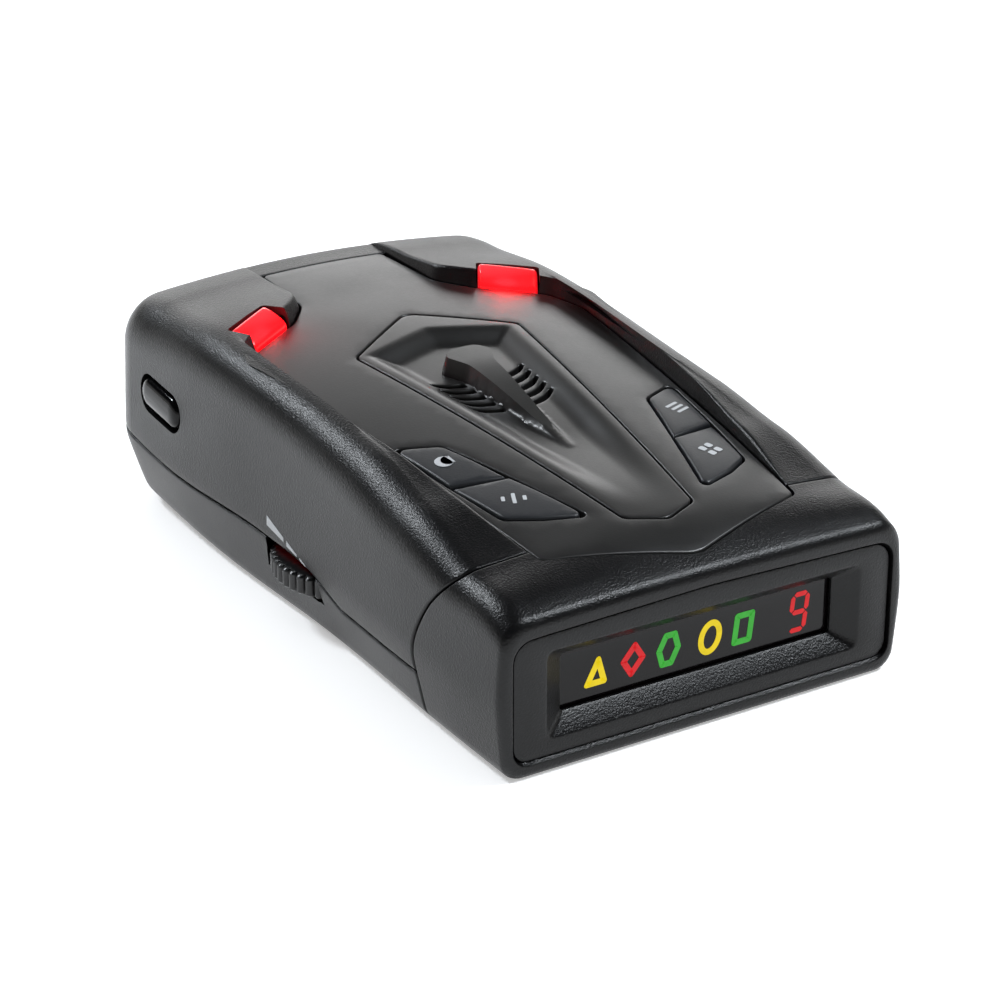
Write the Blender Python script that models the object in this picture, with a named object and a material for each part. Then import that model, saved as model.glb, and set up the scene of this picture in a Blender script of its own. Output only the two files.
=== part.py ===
"""Dashboard radar detector: a wedge-shaped case in three shells, with its buttons, wheel, lamps and works.

Axes: +X is the right side seen from the driver's seat, -Y is the display end, +Y is the road end and +Z
is up. The origin is the centre of the footprint, on the surface that the case stands on. Every number is
in millimetres until it goes into a mesh or a location, where MM turns it into metres.
"""

import math

import bmesh
import bpy
from mathutils import Matrix, Vector

MM = 0.001
GAP = 0.3

# Case
FRONT_Y = -59.3
REAR_Y = 59.3
WALL = 2.0
SEAM_REAR_Z = 11.4
SEAM_FRONT_Z = 7.8
SEAM_STEP_Y = (-8.6, -16.0)
SEAM_RISE = ((38.0, 11.4), (59.3, 14.0))
HALF_WIDTHS = ((-59.3, 33.6), (-38.0, 34.3), (-2.0, 33.7), (34.0, 35.0), (59.3, 35.0))
WAIST_Z = 12.0
FOOT_LEAN = ((-59.3, 1.2), (-30.0, 2.6), (20.0, 2.6), (56.0, 4.2))
FOOT_ROUND = ((-59.3, 3.0), (-30.0, 3.0), (20.0, 3.0), (56.0, 6.0))
HEAD_LEAN = 1.1
HEAD_ROUND = ((-59.3, 4.0), (-30.0, 6.5), (20.0, 6.5), (56.0, 10.0))
FRONT_ROUND = 1.2
REAR_CORNER = 10.0
REAR_EDGE = 8.0
REAR_HEEL = 6.5
RIM_ANGLES = (22.0, 45.0, 66.0, 90.0)
REAR_ANGLES = (12.0, 25.0, 38.0, 50.0, 61.0, 70.0, 78.0, 84.0)

# Crowned top: height at the rear, its fall along the length, across the width and over the nose
CROWN_Z = 35.4
CROWN_VERTEX_Y = 52.8
CROWN_ALONG = 0.0008
CROWN_ACROSS = 0.00243
NOSE_Y = -46.7
NOSE_FALL = 0.014
NOSE_FLATTEN = 0.62
NOSE_LENGTH = 10.0
SHOULDER_RISE = ((-49.6, 0.0), (-18.0, 2.5), (28.0, 2.9), (46.0, 1.3), (59.3, 0.2))

# Top panel: right half of its outline, from the rear edge to the point at the front
PANEL_THICK = 1.6
FLOOR_THICK = 1.6
PANEL_HALF = ((10.9, 48.8), (11.8, 33.6), (15.8, 28.6), (26.4, 22.3), (28.7, 16.0), (20.9, -49.6))
PANEL_TIP = (0.0, -56.2)
PANEL_RADII = (1.0, 4.0, 3.0, 3.0, 5.0, 1.5)

# Speaker insert: rear point, shoulder, front shoulder, front point
INSERT_REAR = (0.0, 22.2)
INSERT_SHOULDER = (14.2, 11.9)
INSERT_TOE = (5.6, -46.5)
INSERT_TIP = (0.0, -48.9)
INSERT_SHEET_HALF_X = 16.0
DISH_DEPTH = 1.6
HOOD_RISE = 1.3
HOOD_Y = (-30.0, 7.0)
SLOT_COUNT = 5
SLOT_REAR_Y = 0.6
SLOT_PITCH = 2.3
SLOT_X = (2.4, 7.8)

# Button pairs, right side: outline points and the split line between the two caps
PAIR_OUTLINE = ((17.6, -18.6), (24.9, -14.8), (22.1, -28.0), (20.1, -38.8), (15.6, -41.5), (9.8, -43.7))
PAIR_RADII = (2.0, 1.0, 3.0, 2.0, 3.0, 0.8)
SPLIT_INNER = (14.2, -30.2)
SPLIT_OUTER = (23.6, -27.8)
CAP_GAP = 0.35
FLANGE_Z = (-2.9, -1.9)
STEM_RADIUS = 1.3
STEM_FOOT_Z = 25.2
BUTTON_CENTRES = {"rear": (19.6, -22.6), "front": (16.3, -35.6)}
SWITCH_TOP_Z = 24.0

# Alert lamps: front edge of the right lens, depth and rise of its sloping face
LENS_INNER = (17.0, 28.35)
LENS_OUTER = (25.2, 23.5)
LENS_DEPTH = 4.6
LENS_RISE = 2.5

# Front cap and display
CAP_SEAM = ((-39.0, 0.0), (-37.4, 11.5), (-41.5, 18.8), (-47.2, 25.5), (-48.6, 32.0))
BEZEL_HALF_X = 31.0
BEZEL_Z = (2.3, 20.0)
BEZEL_BOW = 0.8
BEZEL_THICK = 1.6
BEZEL_Y = -58.9
BEZEL_RADII = (2.4, 3.0, 60.0, 3.0, 2.4)
MOUTH_HALF_X = 27.2
MOUTH_Z = (4.1, 18.3)
WINDOW_HALF_X = 22.5
WINDOW_Z = (7.2, 15.7)
WINDOW_Y = -56.0
WINDOW_THICK = 1.2

# Volume wheel
WHEEL_RADIUS = 13.0
WHEEL_CENTRE = (-22.0, -1.4)
WHEEL_Z = (6.5, 9.7)
WHEEL_RIBS = 48
RIB_DEPTH = 0.5

# Bracket release, left side
RELEASE_CENTRE = (-34.6, 38.6, 21.6)
RELEASE_LENGTH = 12.6
RELEASE_HEIGHT = 5.0
RELEASE_TILT = 5.0
RELEASE_X = (-35.1, -31.2)

# Bracket socket in the rear end
SOCKET_HALF_X = 8.6
SOCKET_Y = (33.8, 54.8)
SLOT_Z = (27.5, 30.1)
SOCKET_WALL = 1.2

# Window in the rear end
REAR_WINDOW_HALF_X = 22.5
REAR_WINDOW_Z = (15.0, 25.9)
REAR_WINDOW_Y = (58.2, 59.2)

# Boards and works
BOARD_Z = 12.2
BOARD_THICK = 1.6
SPEAKER_CENTRE = (0.0, -3.0)
SPEAKER_TOP_Z = 26.9
SPEAKER_RADIUS = 13.0
BUTTON_BOARD_Z = 19.2
HORN_Z = (14.6, 25.0)
JACK_Y = 4.0
JACK_Z = 19.0
JACK_RADIUS = 3.4
JACK_BORE = 1.8
SCREW_PLACES = ((-27.0, -31.0), (27.0, -31.0), (-26.5, 44.0), (26.5, 44.0))


def remove_everything():
    """Empty the scene without closing the file."""
    for item in list(bpy.data.objects):
        bpy.data.objects.remove(item, do_unlink=True)


# ---------------------------------------------------------------- materials


def plastic(name, colour, roughness, metallic=0.0, glow=0.0, alpha=1.0):
    """One Principled material."""
    material = bpy.data.materials.new(name)
    material.use_nodes = True
    shader = material.node_tree.nodes["Principled BSDF"]
    shader.inputs["Base Color"].default_value = (*colour, 1.0)
    shader.inputs["Roughness"].default_value = roughness
    shader.inputs["Metallic"].default_value = metallic
    shader.inputs["Alpha"].default_value = alpha
    if glow:
        shader.inputs["Emission Color"].default_value = (*colour, 1.0)
        shader.inputs["Emission Strength"].default_value = glow
    return material


# ---------------------------------------------------------------- formulas


def smooth(t):
    """Ease a 0-1 ratio so that both of its ends are level."""
    t = min(1.0, max(0.0, t))
    return t * t * (3.0 - 2.0 * t)


def eased(knots, y):
    """Read a value at y from (y, value) knots joined by level-ended curves."""
    if y <= knots[0][0]:
        return knots[0][1]
    for (y0, v0), (y1, v1) in zip(knots, knots[1:]):
        if y <= y1:
            return v0 + (v1 - v0) * smooth((y - y0) / (y1 - y0))
    return knots[-1][1]


def crown(x, y):
    """Height of the crowned top surface that the panel follows."""
    nose = max(0.0, NOSE_Y - y)
    across = CROWN_ACROSS * (1.0 - NOSE_FLATTEN * smooth(nose / NOSE_LENGTH))
    return CROWN_Z - CROWN_ALONG * (CROWN_VERTEX_Y - y) ** 2 - across * x * x - NOSE_FALL * nose * nose


def rear_inset(y, radius):
    """How far a rounded rear end has closed in at y, for a corner of this radius."""
    into = y - (REAR_Y - radius)
    if into <= 0.0:
        return 0.0
    return radius - math.sqrt(max(0.0, radius * radius - into * into))


def front_inset(y):
    """How far the rounded rim of the front face has closed in at y."""
    into = (FRONT_Y + FRONT_ROUND) - y
    if into <= 0.0:
        return 0.0
    return FRONT_ROUND - math.sqrt(max(0.0, FRONT_ROUND * FRONT_ROUND - into * into))


# ---------------------------------------------------------------- outlines


def arc_corner(before, corner, after, radius, steps):
    """Points of the arc that rounds one corner of an outline."""
    corner = Vector(corner)
    back = Vector(before) - corner
    ahead = Vector(after) - corner
    if radius <= 0.0:
        return [tuple(corner)]
    half = back.angle(ahead) / 2.0
    reach = min(radius / math.tan(half), 0.49 * back.length, 0.49 * ahead.length)
    back.normalize()
    ahead.normalize()
    start = corner + back * reach
    end = corner + ahead * reach
    centre = corner + (back + ahead).normalized() * (reach / math.cos(half))
    from_centre = start - centre
    turn = from_centre.angle_signed(end - centre)
    points = []
    for k in range(steps + 1):
        angle = -turn * k / steps
        spoke = Matrix.Rotation(angle, 2) @ from_centre
        points.append(tuple(centre + spoke))
    return points


def rounded(corners, radii, steps=4):
    """Outline through these corners, each rounded to its own radius."""
    points = []
    count = len(corners)
    for k in range(count):
        points += arc_corner(corners[k - 1], corners[k], corners[(k + 1) % count], radii[k], steps)
    return points


def offset(outline, distance):
    """Move a closed outline outwards by a distance, each corner along its bisector."""
    points = [Vector(p) for p in outline]
    area = sum(a.x * b.y - b.x * a.y for a, b in zip(points, points[1:] + points[:1]))
    side = 1.0 if area > 0.0 else -1.0
    moved = []
    for k, point in enumerate(points):
        d0 = (point - points[k - 1]).normalized()
        d1 = (points[(k + 1) % len(points)] - point).normalized()
        n0 = Vector((d0.y, -d0.x)) * side
        n1 = Vector((d1.y, -d1.x)) * side
        mid = (n0 + n1).normalized()
        moved.append(tuple(point + mid * (distance / max(0.35, mid.dot(n0)))))
    return moved


def mirrored(points):
    """The same outline on the other side of the case, kept in turning order."""
    return [(-x, y) for x, y in reversed(points)]


def panel_outline(grow=0.0, steps=4, rear_y=None):
    """Bottle-shaped outline of the top panel, grown by a distance, with its neck run on to rear_y if given."""
    right = list(PANEL_HALF)
    if rear_y is not None:
        right[0] = (right[0][0], rear_y)
    corners = right + [PANEL_TIP] + [(-x, y) for x, y in reversed(right)]
    radii = list(PANEL_RADII) + [6.0] + list(reversed(PANEL_RADII))
    return rounded(offset(corners, grow), radii, steps)


def insert_outline(grow=0.0):
    """Long six-sided outline of the speaker insert."""
    corners = [INSERT_REAR, INSERT_SHOULDER, INSERT_TOE, INSERT_TIP]
    corners += [(-INSERT_TOE[0], INSERT_TOE[1]), (-INSERT_SHOULDER[0], INSERT_SHOULDER[1])]
    return rounded(offset(corners, grow), [2.5, 1.6, 1.5, 2.0, 1.5, 1.6], 2)


def pair_outline(grow=0.0):
    """Outline of the right pair of buttons."""
    return rounded(offset(PAIR_OUTLINE, grow), PAIR_RADII, 2)


def lens_corners(grow=0.0):
    """Four corners of the right lens: front inner, front outer, rear outer, rear inner."""
    inner = Vector(LENS_INNER)
    outer = Vector(LENS_OUTER)
    along = (outer - inner).normalized()
    away = Vector((-along.y, along.x))
    if away.y < 0.0:
        away = -away
    a = inner - along * grow - away * grow
    b = outer + along * grow - away * grow
    depth = away * (LENS_DEPTH + 2.0 * grow)
    return [tuple(a), tuple(b), tuple(b + depth), tuple(a + depth)]


# ---------------------------------------------------------------- meshes


def add_object(name, vertices, faces, origin=(0.0, 0.0, 0.0)):
    """Put a mesh in the scene, its faces turned outwards, with its origin where it belongs."""
    mesh = bpy.data.meshes.new(name)
    local = [tuple((v[k] - origin[k]) * MM for k in range(3)) for v in vertices]
    mesh.from_pydata(local, [], faces)
    bm = bmesh.new()
    bm.from_mesh(mesh)
    bmesh.ops.recalc_face_normals(bm, faces=bm.faces)
    bm.to_mesh(mesh)
    bm.free()
    item = bpy.data.objects.new(name, mesh)
    item.location = [value * MM for value in origin]
    bpy.context.scene.collection.objects.link(item)
    return item


def cutter(item):
    """Mark an object as a tool that shapes others and isn't a piece itself."""
    item.hide_render = True
    item.display_type = "WIRE"
    return item


def loft(name, rings, origin=(0.0, 0.0, 0.0)):
    """Closed body through rings of equal point counts, capped at both ends."""
    count = len(rings[0])
    vertices = [point for ring in rings for point in ring]
    faces = [tuple(range(count)), tuple(range((len(rings) - 1) * count, len(rings) * count))]
    for r in range(len(rings) - 1):
        for k in range(count):
            n = (k + 1) % count
            faces.append((r * count + k, r * count + n, (r + 1) * count + n, (r + 1) * count + k))
    return add_object(name, vertices, faces, origin)


def prism(name, outline, z0, z1, origin=(0.0, 0.0, 0.0)):
    """Upright body over a plan outline."""
    rings = [[(x, y, z) for x, y in outline] for z in (z0, z1)]
    return loft(name, rings, origin)


def side_prism(name, outline, x0, x1, origin=(0.0, 0.0, 0.0)):
    """Body across the case over an outline of (y, z) points."""
    rings = [[(x, y, z) for y, z in outline] for x in (x0, x1)]
    return loft(name, rings, origin)


def face_prism(name, outline, y0, y1, origin=(0.0, 0.0, 0.0)):
    """Body along the case over an outline of (x, z) points."""
    rings = [[(x, y, z) for x, z in outline] for y in (y0, y1)]
    return loft(name, rings, origin)


def block(name, low, high, origin=(0.0, 0.0, 0.0)):
    """Box between two corners."""
    outline = [(low[0], low[1]), (high[0], low[1]), (high[0], high[1]), (low[0], high[1])]
    return prism(name, outline, low[2], high[2], origin)


def circle(centre, radius, sides, start=0.0):
    """Points round a circle."""
    turns = [start + 2.0 * math.pi * k / sides for k in range(sides)]
    return [(centre[0] + radius * math.cos(t), centre[1] + radius * math.sin(t)) for t in turns]


def turned(name, profile, centre, sides=32):
    """Body turned about an upright axis from (radius, z) profile points."""
    rings = [[(x, y, z) for x, y in circle(centre, radius, sides)] for radius, z in profile]
    return loft(name, rings)


def ring_body(name, profile, centre, sides=32):
    """Hollow ring turned about an upright axis from a closed (radius, z) profile."""
    count = len(profile)
    vertices = []
    for k in range(sides):
        turn = 2.0 * math.pi * k / sides
        for radius, z in profile:
            vertices.append((centre[0] + radius * math.cos(turn), centre[1] + radius * math.sin(turn), z))
    faces = []
    for k in range(sides):
        n = (k + 1) % sides
        for p in range(count):
            q = (p + 1) % count
            faces.append((k * count + p, n * count + p, n * count + q, k * count + q))
    return add_object(name, vertices, faces)


def boolean(item, tool, operation="DIFFERENCE"):
    """Shape an item with a tool."""
    modifier = item.modifiers.new(tool.name, "BOOLEAN")
    modifier.operation = operation
    modifier.solver = "EXACT"
    modifier.object = cutter(tool)
    return item


def cut(item, *tools):
    """Take several tools away from an item."""
    for tool in tools:
        boolean(item, tool)
    return item


def join(item, *tools):
    """Add several tools to an item, as one body."""
    for tool in tools:
        boolean(item, tool, "UNION")
    return item


def finish(item, material, round_piece=False):
    """Give a piece its material and its shading."""
    item.data.materials.append(material)
    if round_piece:
        item.data.shade_smooth()
        item.data.set_sharp_from_angle(angle=math.radians(35.0))
    return item


# ---------------------------------------------------------------- case envelope


def section(y, inset, steps):
    """Half of the case's cross-section at y, from the keel round the side to the middle of the top."""
    closing = rear_inset(y + inset, REAR_CORNER)
    drop = rear_inset(y + inset, REAR_EDGE)
    rim = front_inset(y - inset)
    wide = eased(HALF_WIDTHS, y) - inset - closing - rim
    low = inset + rear_inset(y + inset, REAR_HEEL) + rim
    rise = eased(SHOULDER_RISE, y)
    foot = wide - eased(FOOT_LEAN, y)

    def top(x):
        return crown(x, y) + rise - inset - drop - rim

    head = wide - HEAD_LEAN
    corners = [(foot, low), (wide, WAIST_Z), (head, top(head) + 0.4)]
    radii = [max(0.8, eased(FOOT_ROUND, y) - inset), 24.0, max(2.5, eased(HEAD_ROUND, y) - inset)]
    inner = head * 0.62
    path = [(0.0, low)] + corners + [(inner, top(inner))]
    half = [(0.0, low), (foot * 0.6, low)]
    for k, radius in zip(range(1, 4), radii):
        half += arc_corner(path[k - 1], path[k], path[k + 1], radius, steps if k != 2 else 2)
    half += [(x, top(x)) for x in (inner, inner * 0.66, inner * 0.33, 0.0)]
    return half


def envelope(name, inset=0.0, steps=5, stations=15):
    """Outside of the case drawn in by an inset, with closer stations round both ends."""
    y0 = FRONT_Y + inset
    y1 = REAR_Y - inset
    ys = [y0 + (y1 - y0) * k / stations for k in range(stations + 1)]
    if inset == 0.0:
        ys += [FRONT_Y + FRONT_ROUND * (1.0 - math.cos(math.radians(a))) for a in RIM_ANGLES]
    ys += [y1 - REAR_CORNER * (1.0 - math.sin(math.radians(a))) for a in REAR_ANGLES]
    rings = []
    for y in sorted(set(round(value, 4) for value in ys)):
        half = section(y, inset, steps)
        other = [(-x, z) for x, z in reversed(half[1:-1])]
        rings.append([(x, y, z) for x, z in half + other])
    return loft(name, rings)


def sheet(name, surface, levels, xs, ys):
    """Closed plate over a grid of x and y, between two levels measured from a surface's own height."""
    vertices = []
    for level in levels:
        vertices += [(x, y, surface(x, y) + level) for y in ys for x in xs]
    row = len(xs)
    layer = row * len(ys)
    faces = []
    for j in range(len(ys) - 1):
        for a in range(j * row, j * row + row - 1):
            faces.append((a, a + 1, a + row + 1, a + row))
            faces.append((layer + a, layer + a + row, layer + a + row + 1, layer + a + 1))
        for edge in (j * row, j * row + row - 1):
            faces.append((edge, edge + row, layer + edge + row, layer + edge))
    for start in (0, layer - row):
        for a in range(start, start + row - 1):
            faces.append((a, a + 1, layer + a + 1, layer + a))
    return add_object(name, vertices, faces)


def spread(low, high, count):
    """Evenly spaced values from low to high."""
    return [low + (high - low) * k / count for k in range(count + 1)]


def crown_slab(name, low, high, half_x=36.0, y0=-66.0, y1=66.0, across=8, along=22):
    """Plate that follows the crowned top between two heights above it."""
    return sheet(name, crown, (low, high), spread(-half_x, half_x, across), spread(y0, y1, along))


def crown_piece(name, outline, low, high, **extent):
    """Piece of a crowned sheet inside a plan outline."""
    sheet = crown_slab(name, low, high, **extent)
    boolean(sheet, prism(name + "_outline", outline, -5.0, 60.0), "INTERSECT")
    return sheet


def cap_seam():
    """Side view (y, z) of the seam between the cap and the case, bent like a bow."""
    seam = list(CAP_SEAM)
    points = [seam[0]]
    for k, radius in ((1, 9.0), (2, 30.0), (3, 6.0)):
        points += arc_corner(seam[k - 1], seam[k], seam[k + 1], radius, 3)
    return points + [seam[-1]]


def case_regions():
    """Side outlines (y, z) of the three shells' own parts of the envelope, half a gap back from each seam."""
    half = GAP / 2.0
    seam = [(SEAM_STEP_Y[1], SEAM_FRONT_Z), (SEAM_STEP_Y[0], 10.2)]
    seam += [(5.9, SEAM_REAR_Z)] + list(SEAM_RISE) + [(75.0, SEAM_RISE[-1][1])]
    cap = [(-39.0, -6.0)] + cap_seam() + [(-49.0, 60.0)]
    cap_side = [(y - half, z) for y, z in cap]
    case_side = [(y + half, z) for y, z in cap]
    low = [point for point in case_side if point[1] < SEAM_FRONT_Z]
    high = [point for point in case_side if point[1] > SEAM_FRONT_Z]
    below, above = low[-1], high[0]
    front = below[0] + (above[0] - below[0]) * (SEAM_FRONT_Z - below[1]) / (above[1] - below[1])
    top = [(front, SEAM_FRONT_Z + half)] + high + [(75.0, 60.0)]
    top += [(y, z + half) for y, z in reversed(seam)]
    bottom = low + [(front, SEAM_FRONT_Z - half)] + [(y, z - half) for y, z in seam] + [(75.0, -6.0)]
    return top, bottom, cap_side + [(-75.0, 60.0), (-75.0, -6.0)]


# ---------------------------------------------------------------- case shells


def cavity(name):
    """Inside of the case: the envelope drawn in by a wall, lowered under the panel."""
    inside = envelope(name, WALL, steps=3, stations=12)
    low = -PANEL_THICK - GAP - FLOOR_THICK
    roof = crown_piece(name + "_roof", panel_outline(2.2, 2), low, 20.0, across=6, along=14)
    return boolean(inside, roof)


def panel_valley(name):
    """Room above the panel between the shoulders, with sloping walls, open at the rear."""
    rings = []
    for level, grow in ((None, GAP), (-0.2, GAP), (6.0, GAP + 4.6), (60.0, GAP + 4.6)):
        ring = []
        for x, y in panel_outline(grow, 3, rear_y=80.0):
            base = 5.0 if level is None else level
            ring.append((x, y, base if level in (None, 60.0) else base + crown(x, y)))
        rings.append(ring)
    valley = loft(name, rings)
    return boolean(valley, crown_slab(name + "_floor", -0.02, 24.0, y1=84.0), "INTERSECT")


def lens_notch(name, side):
    """Room for an alert lens in the shoulder's inner wall."""
    corners = [(x * side, y) for x, y in lens_corners(GAP)]
    return prism(name, corners, 24.0, 60.0)


def screw_post(name, x, y, z0, z1, radius):
    """Round post for a case screw."""
    return prism(name, circle((x, y), radius, 16), z0, z1)


def rear_window_outline(grow=0.0):
    """Outline (x, z) of the window in the rear end."""
    half = REAR_WINDOW_HALF_X + grow
    low, high = REAR_WINDOW_Z[0] - grow, REAR_WINDOW_Z[1] + grow
    return rounded([(-half, low), (half, low), (half, high), (-half, high)], [1.5] * 4, 3)


def make_top_case(material):
    """Upper shell: shoulders, floor of the panel's recess, screw posts and every opening in its walls."""
    top, _, _ = case_regions()
    case = envelope("top_case")
    boolean(case, side_prism("top_region", top, -60.0, 60.0), "INTERSECT")
    cut(case, cavity("top_cavity"))
    for k, (x, y) in enumerate(SCREW_PLACES):
        roof = 27.6 if y < 0.0 else 34.4
        join(case, screw_post("top_post_%d" % k, x, y, SEAM_REAR_Z + 1.0, roof, 2.6))
        cut(case, screw_post("top_pilot_%d" % k, x, y, 5.0, 17.4, 1.35))
    cut(case, panel_valley("valley"))
    cut(case, crown_piece("panel_recess", panel_outline(GAP), -PANEL_THICK - GAP, 3.0))
    cut(case, lens_notch("left_notch", -1.0), lens_notch("right_notch", 1.0))
    cut(case, prism("insert_hole", insert_outline(-1.4), 20.0, 60.0))
    cut(case, prism("right_pair_hole", pair_outline(1.0), 20.0, 60.0))
    cut(case, prism("left_pair_hole", mirrored(pair_outline(1.0)), 20.0, 60.0))
    cut(case, release_body("release_hole", 0.45, -60.0, -28.0))
    cut(case, block("slot_mouth", (-SOCKET_HALF_X, 53.0, SLOT_Z[0]), (SOCKET_HALF_X, 80.0, SLOT_Z[1])))
    cut(case, face_prism("rear_opening", rear_window_outline(-1.3), 50.0, 80.0))
    cut(case, face_prism("rear_rebate", rear_window_outline(GAP), REAR_WINDOW_Y[0] - GAP, 80.0))
    cut(case, side_prism("jack_hole", circle((JACK_Y, JACK_Z), JACK_RADIUS + GAP, 20), 28.0, 60.0))
    return finish(case, material, round_piece=True)


def make_bottom_case(material):
    """Lower shell: flat base, screw posts, the wheel's notch and its rest."""
    _, bottom, _ = case_regions()
    case = envelope("bottom_case")
    boolean(case, side_prism("bottom_region", bottom, -60.0, 60.0), "INTERSECT")
    cut(case, envelope("bottom_cavity", WALL, steps=3, stations=12))
    for k, (x, y) in enumerate(SCREW_PLACES):
        seam = SEAM_FRONT_Z if y < 0.0 else SEAM_REAR_Z
        join(case, screw_post("bottom_post_%d" % k, x, y, 1.0, seam - 0.6, 3.4))
        cut(case, screw_post("shank_hole_%d" % k, x, y, -5.0, 20.0, 1.5))
        cut(case, screw_post("head_recess_%d" % k, x, y, -5.0, 2.6, 2.7))
    join(case, screw_post("wheel_rest", *WHEEL_CENTRE, 1.0, WHEEL_Z[0] - GAP, 3.0))
    cut(case, prism("wheel_room", circle(WHEEL_CENTRE, WHEEL_RADIUS + GAP + 0.1, 64), WHEEL_Z[0] - GAP, 20.0))
    cut(case, block("wheel_notch", (-60.0, -8.7, WHEEL_Z[0] - 0.5), (-28.0, 5.9, 20.0)))
    return finish(case, material, round_piece=True)


def bezel_outline(grow=0.0):
    """Face outline (x, z) of the bezel: square sides, a slightly bowed top edge and round corners."""
    low, high = BEZEL_Z
    right = [(BEZEL_HALF_X, low), (BEZEL_HALF_X, high)]
    corners = right + [(0.0, high + BEZEL_BOW)] + [(-x, z) for x, z in reversed(right)]
    return rounded(offset(corners, grow), BEZEL_RADII, 3)


def make_front_cap(material):
    """Front shell round the display, with a rebate that the bezel drops into."""
    _, _, region = case_regions()
    cap = envelope("front_cap")
    boolean(cap, side_prism("cap_region", region, -60.0, 60.0), "INTERSECT")
    inside = cavity("cap_cavity")
    boolean(inside, block("cap_front_wall", (-60.0, -80.0, -10.0), (60.0, -55.4, 60.0)))
    cut(cap, inside)
    cut(cap, crown_piece("cap_panel_recess", panel_outline(GAP), -PANEL_THICK - GAP, 3.0))
    cut(cap, face_prism("bezel_rebate", bezel_outline(GAP), -80.0, BEZEL_Y + BEZEL_THICK + GAP))
    cut(cap, face_prism("bezel_opening", bezel_outline(-2.4), -80.0, -50.0))
    return finish(cap, material, round_piece=True)


# ---------------------------------------------------------------- top panel and its inserts


def make_top_panel(material):
    """Crowned trim plate with holes for the speaker insert and both pairs of buttons."""
    panel = crown_piece("top_panel", panel_outline(), -PANEL_THICK, 0.0)
    cut(panel, prism("panel_insert_hole", insert_outline(GAP), 10.0, 60.0))
    cut(panel, prism("panel_right_hole", pair_outline(CAP_GAP), 10.0, 60.0))
    cut(panel, prism("panel_left_hole", mirrored(pair_outline(CAP_GAP)), 10.0, 60.0))
    return finish(panel, material, round_piece=True)


def dish_height(x, y):
    """How far the insert's surface lies from the crowned top: a shallow dish with a hood down its middle."""
    reach = (y - INSERT_TIP[1]) / (INSERT_SHOULDER[1] - INSERT_TIP[1])
    half = INSERT_TOE[0] + (INSERT_SHOULDER[0] - INSERT_TOE[0]) * min(1.0, max(0.0, reach))
    across = min(1.0, abs(x) / half)
    behind = smooth((INSERT_REAR[1] - y - across * 10.0 - 2.6) / 7.0)
    dish = -DISH_DEPTH * smooth(((1.0 - across) * half - 1.9) / 4.5) * behind * smooth(reach * 1.6)
    hood_half = 0.6 + 4.4 * min(1.0, max(0.0, (y + 27.0) / 29.0))
    ahead = y - HOOD_Y[0]
    hood = (DISH_DEPTH + HOOD_RISE * smooth(ahead / 28.0)) * smooth((hood_half + 2.0 - abs(x)) / 2.4)
    return dish + hood * smooth(ahead / 10.0) * smooth((HOOD_Y[1] - y) / 3.0)


def make_speaker_insert(material):
    """Dished insert with a hood and a fan of grille slots on each flank."""
    xs = spread(-INSERT_SHEET_HALF_X, INSERT_SHEET_HALF_X, 18)
    ys = spread(INSERT_TIP[1] - 2.0, INSERT_REAR[1] + 2.0, 30)

    def surface(x, y):
        return crown(x, y) + dish_height(x, y)

    insert = sheet("speaker_insert", surface, (-PANEL_THICK, 0.0), xs, ys)
    boolean(insert, prism("insert_edge", insert_outline(), 0.0, 60.0), "INTERSECT")
    for side, word in ((-1.0, "left"), (1.0, "right")):
        for k in range(SLOT_COUNT):
            y = SLOT_REAR_Y - SLOT_PITCH * k
            inner = SLOT_X[0] - 0.2 * k
            outer = SLOT_X[1] - 0.2 * k
            corners = [(inner, y - 2.4), (outer, y), (outer, y + 1.1), (inner, y - 1.3)]
            outline = [(x * side, v) for x, v in corners]
            cut(insert, prism("slot_%s_%d" % (word, k), outline, 20.0, 60.0))
    return finish(insert, material, round_piece=True)


def half_pair(which, grow=0.0):
    """Outline of one cap of the right pair, cut along the split line."""
    whole = pair_outline(grow)
    a, b = Vector(SPLIT_INNER), Vector(SPLIT_OUTER)
    along = (b - a).normalized()
    normal = Vector((-along.y, along.x))
    keep = 1.0 if which == "rear" else -1.0
    limit = CAP_GAP / 2.0
    kept = []
    for k, point in enumerate(whole):
        here = (Vector(point) - a).dot(normal) * keep - limit
        ahead = Vector(whole[(k + 1) % len(whole)])
        there = (ahead - a).dot(normal) * keep - limit
        if here >= 0.0:
            kept.append(tuple(point))
        if here * there < 0.0:
            kept.append(tuple(Vector(point).lerp(ahead, here / (here - there))))
    return kept


def make_button(name, side, which, material):
    """Button cap with a retaining flange under the panel and a stem down to its switch."""
    centre = BUTTON_CENTRES[which]
    origin = (centre[0] * side, centre[1], crown(*centre))
    outlines = [half_pair(which, 0.0), half_pair(which, 0.6)]
    if side < 0.0:
        outlines = [mirrored(outline) for outline in outlines]
    extent = dict(half_x=30.0, y0=-48.0, y1=-10.0, across=6, along=8)
    button = crown_piece(name, outlines[0], -2.4, 0.0, **extent)
    join(button, crown_piece(name + "_flange", outlines[1], *FLANGE_Z, **extent))
    join(button, prism(name + "_stem", circle(origin[:2], STEM_RADIUS, 12), STEM_FOOT_Z, origin[2] - 1.6))
    recentre(button, origin)
    return finish(button, material)


def recentre(item, origin):
    """Move an object's origin without moving its surface."""
    shift = Vector(origin) * MM
    for vertex in item.data.vertices:
        vertex.co -= shift
    item.location = shift


def make_lens(name, side, material):
    """Wedge-shaped lamp lens that rises from the panel's edge into the shoulder."""
    corners = [(x * side, y) for x, y in lens_corners()]
    rises = (0.1, 0.1, LENS_RISE, LENS_RISE)
    low = [(x, y, 28.6) for x, y in corners]
    high = [(x, y, crown(x, y) + rise) for (x, y), rise in zip(corners, rises)]
    return finish(loft(name, [low, high]), material)


# ---------------------------------------------------------------- moving pieces at the side


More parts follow.
